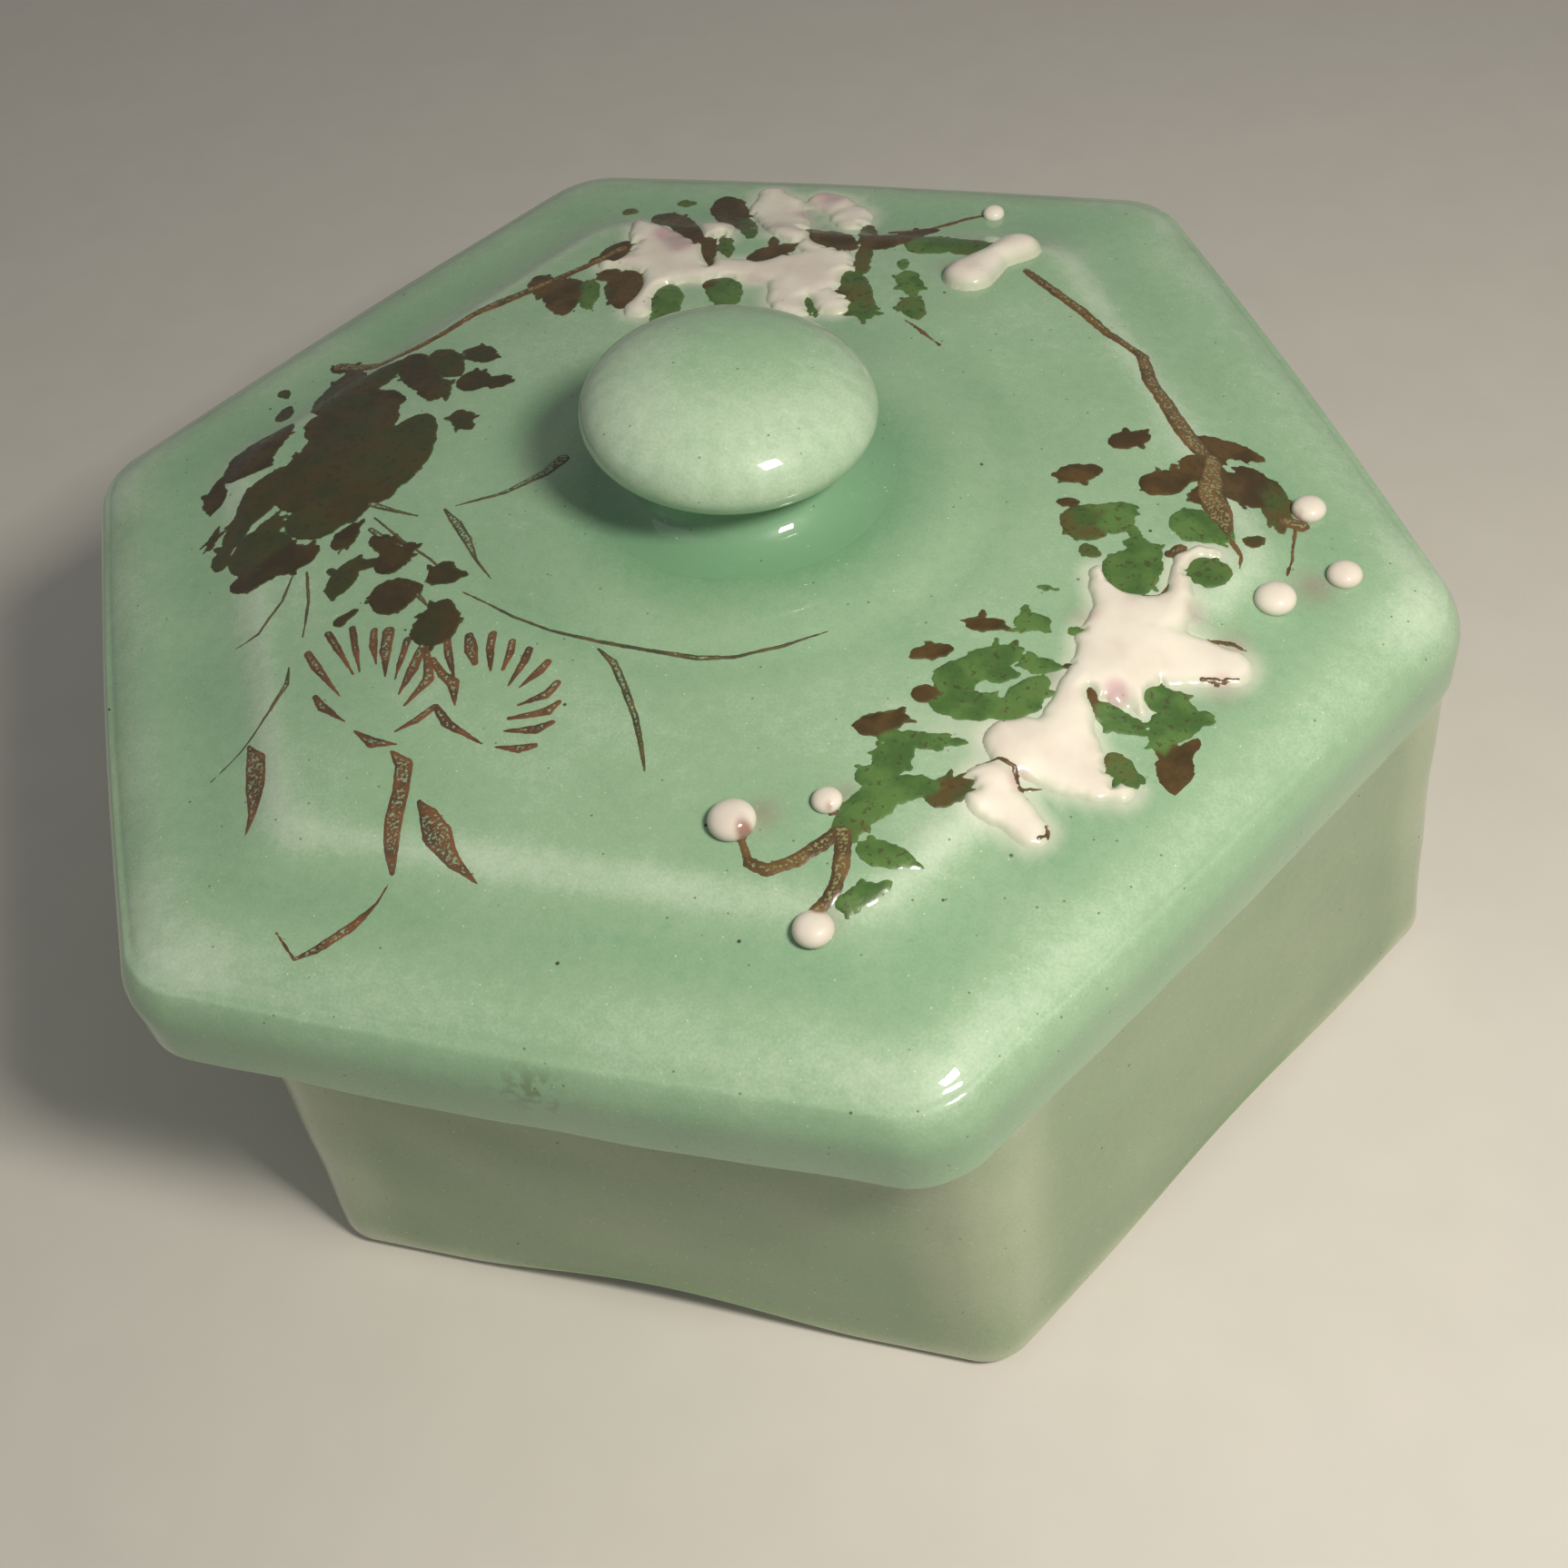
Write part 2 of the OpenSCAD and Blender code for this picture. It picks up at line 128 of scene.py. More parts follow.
def skin(name, first, rings, last):
    """Skins rings into a closed shell, from a first point to a last point."""
    m, n = len(rings), len(rings[0])
    points = np.vstack([[first], np.vstack(rings)[:, :3], [last]])
    end = m * n + 1
    faces = [(0, 1 + (i + 1) % n, 1 + i) for i in range(n)]
    for j in range(m - 1):
        a, b = 1 + j * n, 1 + (j + 1) * n
        faces += [(a + i, a + (i + 1) % n, b + (i + 1) % n, b + i) for i in range(n)]
    faces += [(end, end - n + i, end - n + (i + 1) % n) for i in range(n)]
    return mesh_object(name, points, faces)


def paint(obj, name, values):
    """Stores one number per vertex, which a material can read."""
    layer = obj.data.attributes.new(name, "FLOAT", "POINT")
    layer.data.foreach_set("value", np.asarray(values, np.float32))


def bell(x, middle, width):
    """A soft bump of height 1."""
    return np.exp(-((x - middle) / width) ** 2)


def smooth_step(x, low, high):
    """0 below low, 1 above high, and soft between."""
    t = np.clip((x - low) / (high - low), 0, 1)
    return t * t * (3 - 2 * t)


def wander(x, y, size):
    """Slow unevenness between about -1 and 1, with hills of that size in mm."""
    return (np.sin(x / size + 1.3) * np.cos(y / size * 0.8 + 0.4) + 0.5 * np.sin((x + 1.7 * y) / size * 1.9)) / 1.5


# %% [markdown]
# ## The lid's surface
# The lid was pressed over a mould, so it has a rolled rim, a sloping border and a raised hexagonal panel that
# domes to the middle. Glaze and hand work softened every line. The surface is written as one height function of
# x and y, because the same function later seats the flowers, which must follow it exactly.

# %% Lid sizes and height
lid_low, lid_high = (np.array(corner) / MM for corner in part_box("lid_cover"))
SEAT_Z = lid_low[2]
SIDE_BOW = 0.4
LID_A = lid_high[1] - SIDE_BOW
CROWN = lid_high[2] - lid_low[2]
SHOULDER_R = 4.9
RIM_H = 8.2
BORDER_A = LID_A - SHOULDER_R
PANEL_A = LID_A - 12.4
PANEL_Z = 9.8
CORNER_R = 5.9
KNOB_AT = (2.5, 1.0)
SWELL_R = 16.0
SWELL = 0.4
print("lid: apothem", round(LID_A, 2), "seat at", round(SEAT_Z, 2), "crown", round(CROWN, 2))

profile_a = np.linspace(0, LID_A, 1801)
panel = CROWN - (CROWN - PANEL_Z) * (profile_a / PANEL_A) ** 2
across = np.clip((profile_a - PANEL_A) / (BORDER_A - PANEL_A), 0, 1)
border = PANEL_Z - (PANEL_Z - RIM_H) * across - 0.5 * np.sin(np.pi * across ** 0.7)
fall = SHOULDER_R - np.sqrt(np.clip(SHOULDER_R ** 2 - np.clip(profile_a - BORDER_A, 0, None) ** 2, 0, None))
profile_z = np.where(profile_a < PANEL_A, panel, border) - fall


def smoothed(values, steps):
    """A running average that leaves the ends in place."""
    window = np.hanning(steps) / np.hanning(steps).sum()
    return np.convolve(np.pad(values, steps // 2, mode="edge"), window, mode="valid")


on_shoulder = bell(profile_a, BORDER_A + 0.4, 2.2)
profile_z = smoothed(profile_z, 101) * (1 - on_shoulder) + smoothed(profile_z, 261) * on_shoulder
near_edge = smooth_step(profile_a, BORDER_A + 2.2, BORDER_A + 3.4)
profile_z = profile_z * (1 - near_edge) + (RIM_H - fall) * near_edge


def plan_corner(apothem):
    """Plan radius of the lid's corners at a distance from its middle."""
    return np.interp(apothem, [0, 8, PANEL_A, BORDER_A, LID_A], [0.2, 3.5, 5.0, 4.8, CORNER_R])


def apothem_at(x, y):
    """Which hexagonal ring a point lies on, with the corners rounded."""
    x, y = np.asarray(x, float), np.asarray(y, float)
    flat = np.max([x * math.cos(math.radians(t)) + y * math.sin(math.radians(t)) for t in range(30, 390, 60)], axis=0)
    corner = plan_corner(flat)
    best = flat
    for k in range(6):
        c, s = math.cos(math.radians(60 * k)), math.sin(math.radians(60 * k))
        along, aside = x * c + y * s, -x * s + y * c
        inside = (np.abs(aside) < corner / 2) & (along > 0)
        reach = along - np.sqrt(np.clip(corner ** 2 - aside ** 2, 0, None))
        best = np.where(inside, corner + math.cos(math.radians(30)) * reach, best)
    return best


def lid_height(x, y):
    """Height of the lid's glazed top above the table."""
    z = np.interp(apothem_at(x, y), profile_a, profile_z)
    from_knob = np.hypot(np.asarray(x) - KNOB_AT[0], np.asarray(y) - KNOB_AT[1])
    z = z + SWELL * (1 - smooth_step(from_knob, SWELL_R - 2.2, SWELL_R + 2.2)) - SWELL * 0.5
    return SEAT_Z + z + 0.07 * wander(x, y, 6.5)


# %% [markdown]
# ## The lid
# The rings run from the hollow underneath, out across the flat seat, round the thin lip, up the rim and over the
# top to the middle. Each vertex also stores how thin the glaze lies there. Glaze runs off raised edges while it
# melts, so the arris, the ridge and the corners come out pale, and it gathers in the hollow border and at the
# neck of the knob, which come out a deeper green.

# %% Build the lid
flange_low, flange_high = (np.array(corner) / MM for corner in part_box("locating_flange"))
HOLLOW_A = flange_high[1] - 2.4
CEILING = 6.2
LIP = 0.3
LOWER_RIM = slice(19, 32)   # the rings of the rim's lower part, which sagged a little in the fire


def lid_rings():
    rings = []
    for apothem, z in [(6, CEILING + 1.4), (16, CEILING + 1.1), (26, CEILING + 0.6), (HOLLOW_A - 3, CEILING),
                       (HOLLOW_A - 1, CEILING - 0.5), (HOLLOW_A - 0.1, CEILING - 1.8), (HOLLOW_A, CEILING - 3.5),
                       (HOLLOW_A, 1.2), (HOLLOW_A + 0.2, 0.4), (HOLLOW_A + 0.7, 0.05)]:
        rings.append(hex_ring(apothem, 3.2, SEAT_Z + z))
    for apothem in np.linspace(HOLLOW_A + 2.5, LID_A - 2 * LIP, 9):
        rings.append(hex_ring(apothem, float(plan_corner(apothem)), SEAT_Z + 0.02, SIDE_BOW))
    for t in np.linspace(-80, 0, 6):
        out = LID_A - LIP + LIP * math.cos(math.radians(t))
        rings.append(hex_ring(out, CORNER_R, SEAT_Z + LIP + LIP * math.sin(math.radians(t)), SIDE_BOW))
    top_of_face = RIM_H - SHOULDER_R
    for z in np.linspace(LIP + 0.3, top_of_face, 7):
        rings.append(hex_ring(LID_A, CORNER_R, SEAT_Z + z, SIDE_BOW))
    for t in np.linspace(5, 40, 8):
        out = BORDER_A + SHOULDER_R * math.cos(math.radians(t))
        z = top_of_face + SHOULDER_R * math.sin(math.radians(t))
        rings.append(hex_ring(out, float(plan_corner(out)), SEAT_Z + z, SIDE_BOW))
    over = BORDER_A + SHOULDER_R * math.cos(math.radians(43))
    for apothem in np.arange(over, 0.5, -0.4):
        bow = SIDE_BOW * smooth_step(apothem, PANEL_A, BORDER_A)
        ring = hex_ring(apothem, float(plan_corner(apothem)), 0, bow)
        straight = hex_ring(apothem, float(plan_corner(apothem)), 0)
        ring[:, 2] = lid_height(straight[:, 0], straight[:, 1])
        rings.append(ring)
    for ring in rings[LOWER_RIM]:
        sag = 1 - smooth_step(ring[:, 2] - SEAT_Z, 1.0, 4.0)
        ring[:, 2] += 0.16 * sag * (0.6 + wander(ring[:, 0] * 1.2, ring[:, 1] * 1.1, 3.2))
    return rings


rings = lid_rings()
top = float(lid_height(0, 0))
lid = skin("lid_shell", (0, 0, SEAT_Z + CEILING + 1.5), rings, (0, 0, top))
places = np.vstack([[[0, 0, SEAT_Z + CEILING, 0, 0]], np.vstack(rings), [[0, 0, top, 0, 0]]])
x, y, z = places[:, 0], places[:, 1], places[:, 2] - SEAT_Z
ring_a = apothem_at(x, y)
corner_share = smooth_step(places[:, 4], 0.75, 1.0)
on_top = smooth_step(z, 2.0, 6.5)
ridge = bell(ring_a, PANEL_A + 0.3, 1.3) * 0.26
arris = bell(ring_a, LID_A - 2.4, 2.2) * on_top * (0.08 + 0.14 * corner_share)
pooled = bell(ring_a, PANEL_A + 4.6, 2.4) * 0.12 * on_top
from_knob = np.hypot(x - KNOB_AT[0], y - KNOB_AT[1])
pooled += bell(from_knob, 9.5, 3.6) * 0.34 + bell(from_knob, SWELL_R + 2.6, 1.6) * 0.08
# The lower part of the rim's face comes out a deeper green: partly glaze that pooled as it ran down, partly painted
# shade on the upright face.
pooled += bell(z, 3.0, 2.4) * (ring_a > LID_A - 1.5) * 0.2
paint(lid, "thin", np.clip(0.42 + ridge + arris - pooled + 0.03 * wander(x, y, 4), 0, 1))
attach(lid, "lid")
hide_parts("lid_cover")
print("lid mesh:", len(lid.data.vertices), "vertices")

# %% [markdown]
# ## The locating flange
# A ring under the lid drops inside the mouth of the box and keeps the lid from sliding off. It is a plain thrown
# or pressed strip with rounded edges, so a short stack of rings makes it.

# %% Build the flange
flange_a = flange_high[1]
drop = flange_low[2]


def flange_rings():
    rings = []
    outline = [(flange_a - 0.1, SEAT_Z + 0.1), (flange_a, SEAT_Z - 0.5), (flange_a, drop + 0.7),
               (flange_a - 0.2, drop + 0.25), (flange_a - 0.7, drop), (HOLLOW_A + 0.7, drop),
               (HOLLOW_A + 0.2, drop + 0.25), (HOLLOW_A, drop + 0.7), (HOLLOW_A, SEAT_Z - 0.5),
               (HOLLOW_A + 0.05, SEAT_Z + 0.1)]
    for apothem, z in outline:
        rings.append(hex_ring(apothem, 3.2 + (apothem - HOLLOW_A) * 0.5, z))
    return rings


def closed_band(name, rings):
    """Skins rings into a closed loop, last ring back to first."""
    m, n = len(rings), len(rings[0])
    faces = []
    for j in range(m):
        a, b = j * n, ((j + 1) % m) * n
        faces += [(a + i, b + i, b + (i + 1) % n, a + (i + 1) % n) for i in range(n)]
    return mesh_object(name, np.vstack(rings)[:, :3], faces)


flange = closed_band("flange_ring", flange_rings())
paint(flange, "thin", np.full(len(flange.data.vertices), 0.5))
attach(flange, "lid")
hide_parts("locating_flange")
print("flange mesh:", len(flange.data.vertices), "vertices")

# %% [markdown]
# ## The knob
# The knob is a flattened mushroom cap on a short flared neck. It was thrown by itself and stuck on with slip a
# little off centre, and it leans. A turned profile gives the body. Faint flutes run in from the edge of the cap,
# and the lowest ring is laid onto the lid so that the glaze runs across the joint without a gap.

# %% Build the knob
KNOB_R = 10.05
CAP_H, CAP_UP, CAP_DOWN = 5.7, 4.7, 4.1
NECK_R, FLARE_R = 7.2, 10.6
LEAN_X, LEAN_Y = math.radians(-2.7), math.radians(4.0)
FLUTES, FLUTE_DEPTH, FLUTE_TONE = 30, 0.003, 0.024
CAP_SHIFT = (-0.35, -0.15)
TURNS = 180


def knob_profile():
    """Radius and height from under the flare, up the neck and round the cap."""
    low = [(FLARE_R + 1.6, -0.25), (FLARE_R + 0.6, -0.02)]
    neck = [(NECK_R + (FLARE_R - NECK_R) * (1 - math.sin(t)) ** 1.25, 0.05 + 2.3 * (1 - math.cos(t)) ** 0.9)
            for t in np.radians(np.linspace(6, 86, 14))]
    under = [(KNOB_R * math.cos(t), CAP_H + CAP_DOWN * math.sin(t)) for t in np.radians(np.linspace(-44, 0, 16))]
    over = [(KNOB_R * math.cos(t), CAP_H + CAP_UP * math.sin(t)) for t in np.radians(np.linspace(4, 88, 26))]
    return np.array(low + neck + under + over)


profile = knob_profile()
step = np.hypot(*np.diff(profile, axis=0).T)
length = np.concatenate([[0], np.cumsum(step)])
even = np.linspace(0, length[-1], 110)
radius, height = np.interp(even, length, profile[:, 0]), np.interp(even, length, profile[:, 1])
for _ in range(3):
    radius[1:-1] = (radius[:-2] + 2 * radius[1:-1] + radius[2:]) / 4
    height[1:-1] = (height[:-2] + 2 * height[1:-1] + height[2:]) / 4
theta = np.linspace(0, 2 * math.pi, TURNS, endpoint=False)
fluted = bell(radius, KNOB_R * 0.86, KNOB_R * 0.22) * (height > CAP_H - 1.0)
knob_rings, knob_thin = [], []
knob_seat = float(lid_height(*KNOB_AT)) - 0.05
for r, h, f in zip(radius, height, fluted):
    flute = f * np.cos(FLUTES * theta)
    rr = r + FLUTE_DEPTH * flute + 0.05 * np.cos(2 * theta + 0.6)
    px, py, pz = rr * np.cos(theta), rr * np.sin(theta), np.full(TURNS, h)
    held = smooth_step(h, 0.0, 2.2)
    pz = pz - held * (px * math.sin(LEAN_Y) - py * math.sin(LEAN_X))
    px = px + held * CAP_SHIFT[0]
    py = py + held * CAP_SHIFT[1]
    gx, gy = KNOB_AT[0] + px, KNOB_AT[1] + py
    on_lid = lid_height(gx, gy) + h - 0.03
    gz = on_lid * (1 - held) + (knob_seat + pz) * held
    knob_rings.append(np.column_stack([gx, gy, gz]))
    from_green = np.hypot(px - 0.6, py - 2.6)
    edge = smooth_step(from_green, 0.5, 10.5) * smooth_step(h, CAP_H - 3.4, CAP_H - 2.0) * 0.22
    neck_pool = (1 - smooth_step(h, CAP_H - 3.6, CAP_H - 2.2)) * 0.34
    knob_thin.append(np.clip(0.4 + edge - neck_pool + FLUTE_TONE * flute, 0, 1))
low_middle, high_middle = knob_rings[0].mean(axis=0), knob_rings[-1].mean(axis=0)
knob = skin("knob_turned", low_middle - (0, 0, 0.6), knob_rings, high_middle + (0, 0, 0.02))
paint(knob, "thin", np.concatenate([[0.3], np.concatenate(knob_thin), [0.4]]))
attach(knob, "lid")
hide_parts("knob")
print("knob top at", round(float(high_middle[2]), 2), "mm")

# %% [markdown]
# ## The box
# The box is a deep hexagonal cup. Its walls lean in a little towards the mouth, the corner feet stand slightly
# proud, and a shallow arch under each side lets it stand steadily. The rings go from the hollow under the floor,
# round the foot, up the wall, over the rounded mouth and down to the floor inside.

# %% Build the box
box_low, box_high = (np.array(corner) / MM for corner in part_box("box_body"))
BOX_X = (box_low[0] + box_high[0]) / 2
FOOT_A = box_high[1]
MOUTH_OUT = FOOT_A - 0.9
WALL = 3.0
MOUTH_A = MOUTH_OUT - WALL
BOX_R = 5.2
FOOT_R = 3.9
RECESS, FLOOR = 2.2, 5.6
FOOT_W = 4.6
ARCH_LEN = 30.0
ARCHES = [1.7, 1.9, 1.8, 1.8, 2.0, 1.35]
MOUTH_R = 0.7


def box_ring(apothem, corner, z, lift=0.0):
    """A ring of the box. The foot arches lift it by their full height where lift is 1."""
    ring = hex_ring(apothem, max(corner, 0.8), z)
    half = (apothem - corner) * math.tan(math.radians(30))
    along = ring[:, 4] * half
    bump = np.where((along < ARCH_LEN / 2) & (ring[:, 4] < 1), (1 + np.cos(2 * np.pi * along / ARCH_LEN)) / 2, 0)
    ring[:, 2] += lift * np.array(ARCHES)[ring[:, 3].astype(int)] * bump ** 0.8
    ring[:, 0] += BOX_X
    return ring


def box_rings():
    rings = [box_ring(a, 3.5, RECESS) for a in (12, 24, FOOT_A - FOOT_W - 1.2)]
    rings += [box_ring(FOOT_A - FOOT_W - 0.5, 3.6, RECESS - 0.4, 0.1), box_ring(FOOT_A - FOOT_W, 3.8, 0.4, 0.9),
              box_ring(FOOT_A - FOOT_W + 0.6, 3.8, 0.0, 1), box_ring(FOOT_A - 2.4, 3.8, 0.0, 1)]
    for t in np.linspace(-78, 0, 8):
        out = FOOT_A - 1.3 + 1.3 * math.cos(math.radians(t))
        rings.append(box_ring(out, FOOT_R, 1.3 + 1.3 * math.sin(math.radians(t)), 1 - 0.1 * (t + 78) / 78))
    wall_top = SEAT_Z - MOUTH_R
    for z in np.linspace(1.8, wall_top, 38):
        share = z / wall_top
        lean = (1 - share) ** 1.6
        corner = BOX_R - (BOX_R - FOOT_R) * lean
        ring = box_ring(MOUTH_OUT + 0.9 * lean, corner, z, 0.85 * (1 - share) ** 3)
        push = 0.12 * wander(ring[:, 0] + ring[:, 1] * 0.6, ring[:, 2] * 1.3, 7.0)
        out = np.hypot(ring[:, 0] - BOX_X, ring[:, 1])
        ring[:, 0] += push * (ring[:, 0] - BOX_X) / out
        ring[:, 1] += push * ring[:, 1] / out
        rings.append(ring)
    for t in np.linspace(15, 90, 6):
        out = MOUTH_OUT - MOUTH_R + MOUTH_R * math.cos(math.radians(t))
        rings.append(box_ring(out, BOX_R - 0.2, wall_top + MOUTH_R * math.sin(math.radians(t)) - 0.03))
    for t in np.linspace(90, 180, 7):
        out = MOUTH_A + MOUTH_R + MOUTH_R * math.cos(math.radians(t))
        rings.append(box_ring(out, BOX_R - WALL + 0.9, wall_top + MOUTH_R * math.sin(math.radians(t)) - 0.03))
    for z in np.linspace(wall_top - 2, FLOOR + 3.5, 8):
        rings.append(box_ring(MOUTH_A - 0.02, BOX_R - WALL + 0.9, z))
    for t in np.linspace(0, 90, 8)[1:]:
        out = MOUTH_A - 3.2 + 3.2 * math.cos(math.radians(t))
        rings.append(box_ring(out, BOX_R - WALL + 0.9, FLOOR + 3.2 - 3.2 * math.sin(math.radians(t))))
    return rings + [box_ring(a, 3.2, FLOOR - 0.15) for a in (28, 18, 8)]


rings = box_rings()
body = skin("box_shell", (BOX_X, 0, RECESS), rings, (BOX_X, 0, FLOOR - 0.2))
places = np.vstack([[[BOX_X, 0, RECESS, 0, 0]], np.vstack(rings), [[BOX_X, 0, FLOOR, 0, 0]]])
x, y, z = places[:, 0] - BOX_X, places[:, 1], places[:, 2]
outer = apothem_at(x, y) > FOOT_A - 3
corner_share = smooth_step(places[:, 4], 0.8, 1.0) * outer
foot_edge = bell(z, 0.8, 1.1) * outer * 0.55
mouth_edge = bell(z, SEAT_Z, 0.7) * 0.4
thin = 0.42 + 0.28 * corner_share + foot_edge + mouth_edge
thin += 0.05 * wander(x * 1.3 + y, z, 6) - 0.08 * bell(z, 4.4, 2.4)
paint(body, "thin", np.clip(thin, 0, 1))
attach(body, "base")
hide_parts("box_body")
print("box mesh:", len(body.data.vertices), "vertices, wall", WALL, "mm")

# %% [markdown]
# ## One function for node trees
# A material is a small graph. This helper adds one node, sets its values and links its inputs, so that each
# material below reads as a short list of what it does. Colours are written as the sRGB hex values of the glaze
# and turned to the linear numbers that the renderer works in.


# %% Node and colour helpers
def linear(hex_colour):
    """sRGB hex to linear RGBA."""
    parts = [int(hex_colour[i:i + 2], 16) / 255 for i in (1, 3, 5)]
    return [c / 12.92 if c <= 0.04045 else ((c + 0.055) / 1.055) ** 2.4 for c in parts] + [1.0]


def add(tree, kind, inputs=None, **settings):
    """Adds a node. inputs gives each socket a value, or an output socket to link from."""
    node = tree.nodes.new(kind)
    for key, value in settings.items():
        setattr(node, key, value)
    for key, value in (inputs or {}).items():
        if isinstance(value, bpy.types.NodeSocket):
            tree.links.new(value, node.inputs[key])
        else:
            node.inputs[key].default_value = value
    return node


def new_material(name):
    """An empty material with its output and a shader, ready for its pattern."""
    material = bpy.data.materials.new(name)
    material.use_nodes = True
    tree = material.node_tree
    tree.nodes.clear()
    shader = add(tree, "ShaderNodeBsdfPrincipled")
    add(tree, "ShaderNodeOutputMaterial", {"Surface": shader.outputs["BSDF"]})
    return material, tree, shader


def mix(tree, factor, a, b):
    """Mixes two colours and returns the result's socket."""
    node = add(tree, "ShaderNodeMix", {0: factor, 6: a, 7: b}, data_type="RGBA")
    return node.outputs[2]


def ramp(tree, value, low, high, out_low=0.0, out_high=1.0):
    """Maps a number from one range to another, smoothly and clamped."""
    node = add(tree, "ShaderNodeMapRange", {0: value, 1: low, 2: high, 3: out_low, 4: out_high},
               interpolation_type="SMOOTHSTEP")
    return node.outputs[0]


def per_metre(size_mm):
    """A noise or cell scale whose pattern repeats about once in size_mm."""
    return 1000.0 / size_mm


# %% [markdown]
# Two things come back in every finish here: small round specks, and the glassy surface that a fired glaze or
# enamel has, with a slight ripple.


# %% Specks and the glassy surface
def specks(tree, where, size, core, rim, share, strength):
    """Round specks, one in each chosen cell of the given size in mm. share is how many cells stay empty."""
    cells = add(tree, "ShaderNodeTexVoronoi", {"Vector": where, "Scale": per_metre(size)})
    dot = ramp(tree, cells.outputs["Distance"], core, rim, strength, 0.0)
    chosen = add(tree, "ShaderNodeSeparateColor", {"Color": cells.outputs["Color"]}).outputs["Red"]
    chosen = add(tree, "ShaderNodeMath", {0: chosen, 1: share}, operation="GREATER_THAN").outputs[0]
    return add(tree, "ShaderNodeMath", {0: dot, 1: chosen}, operation="MULTIPLY").outputs[0]


def glassy(tree, shader, colour, rough, ior, coat, ripple):
    """Finishes a fired surface. rough is a pattern with its two roughnesses, coat a weight and a roughness."""
    tree.links.new(colour, shader.inputs["Base Color"])
    tree.links.new(ramp(tree, rough[0], 0.3, 0.7, *rough[1:]), shader.inputs["Roughness"])
    shader.inputs["IOR"].default_value = ior
    shader.inputs["Coat Weight"].default_value, shader.inputs["Coat Roughness"].default_value = coat
    bump = add(tree, "ShaderNodeBump", {"Height": ripple[0], "Strength": ripple[1], "Distance": ripple[2]})
    tree.links.new(bump.outputs["Normal"], shader.inputs["Normal"])


def milky(shader, weight, radius, scale):
    """Lets light into a surface and out again, with a soft base reflection under the clear coat."""
    shader.inputs["Specular IOR Level"].default_value = 0.25
    shader.inputs["Subsurface Weight"].default_value = weight
    shader.inputs["Subsurface Radius"].default_value = radius
    shader.inputs["Subsurface Scale"].default_value = scale


# %% [markdown]
# ## Celadon glaze
# Celadon is a feldspar glaze coloured by a little iron and fired without air. It is thick, full of tiny bubbles
# and slightly milky, so light goes into it and comes out softly. The colour follows the glaze's depth: nearly
# white on the edges, deep green where it pooled. Iron specks come up from the clay as pepper dots 0.1 to 0.2 mm
# wide, and pale pinpricks stand partly for burst bubbles and partly as painted glints for the glaze's tiny
# sparkles. The surface itself is glass: smooth, with a clear highlight.


# %% Celadon material
def celadon(name, deep, middle, pale, rough=0.42):
    material, tree, shader = new_material(name)
    where = add(tree, "ShaderNodeTexCoord").outputs["Object"]
    thin = add(tree, "ShaderNodeAttribute", attribute_name="thin").outputs["Fac"]
    cloud = add(tree, "ShaderNodeTexNoise", {"Vector": where, "Scale": per_metre(9), "Detail": 3.0}).outputs["Fac"]
    fine = add(tree, "ShaderNodeTexNoise", {"Vector": where, "Scale": per_metre(0.9), "Detail": 2.0}).outputs["Fac"]
    depth = add(tree, "ShaderNodeMath", {0: cloud, 1: 0.5}, operation="SUBTRACT").outputs[0]
    depth = add(tree, "ShaderNodeMath", {0: depth, 1: 0.35, 2: thin}, operation="MULTIPLY_ADD").outputs[0]
    grain = add(tree, "ShaderNodeMath", {0: fine, 1: 0.5}, operation="SUBTRACT").outputs[0]
    depth = add(tree, "ShaderNodeMath", {0: grain, 1: 0.2, 2: depth}, operation="MULTIPLY_ADD").outputs[0]
    pits = add(tree, "ShaderNodeTexNoise", {"Vector": where, "Scale": per_metre(0.2), "Detail": 2.0}).outputs["Fac"]
    pits = add(tree, "ShaderNodeMath", {0: pits, 1: 0.5}, operation="SUBTRACT").outputs[0]
    depth = add(tree, "ShaderNodeMath", {0: pits, 1: 0.3, 2: depth}, operation="MULTIPLY_ADD").outputs[0]
    colours = add(tree, "ShaderNodeValToRGB", {"Fac": depth})
    stops = colours.color_ramp.elements
    stops[0].position, stops[0].color = 0.08, linear(deep)
    stops[1].position, stops[1].color = 0.95, linear(pale)
    mid = stops.new(0.45)
    mid.color = linear(middle)
    colour = colours.outputs["Color"]
    # The third kind, pale pinpricks, is partly burst bubbles and partly painted glints standing in for tiny sparkles.
    kinds = [(1.3, 0.042, 0.35, "#4A5238", 0.7), (3.1, 0.028, 0.35, "#2B2B22", 0.9),
             (0.8, 0.045, 0.50, "#D3E2C9", 0.7)]
    for size, radius, share, tone, strength in kinds:
        colour = mix(tree, specks(tree, where, size, radius, radius * 1.9, share, strength), colour, linear(tone))
    for key, tone in (("haze", "#DAD8CA"), ("blush", "#8F7470"), ("smudge", "#4E5A30")):
        amount = add(tree, "ShaderNodeAttribute", attribute_name=key).outputs["Fac"]
        if key == "smudge":
            patchy = ramp(tree, fine, 0.4, 0.62)
            amount = add(tree, "ShaderNodeMath", {0: amount, 1: patchy}, operation="MULTIPLY").outputs[0]
        colour = mix(tree, amount, colour, linear(tone))
    milky(shader, 0.12, (0.9, 1.2, 0.8), 0.0012)
    ripple = add(tree, "ShaderNodeTexNoise", {"Vector": where, "Scale": per_metre(2.6), "Detail": 1.0}).outputs["Fac"]
    glassy(tree, shader, colour, (fine, rough * 0.85, rough * 1.2), 1.5, (0.9, 0.035), (ripple, 0.05, 0.0003))
    return material


lid_glaze = celadon("celadon_glaze_lid", "#739C79", "#92B08F", "#C9D8C3")
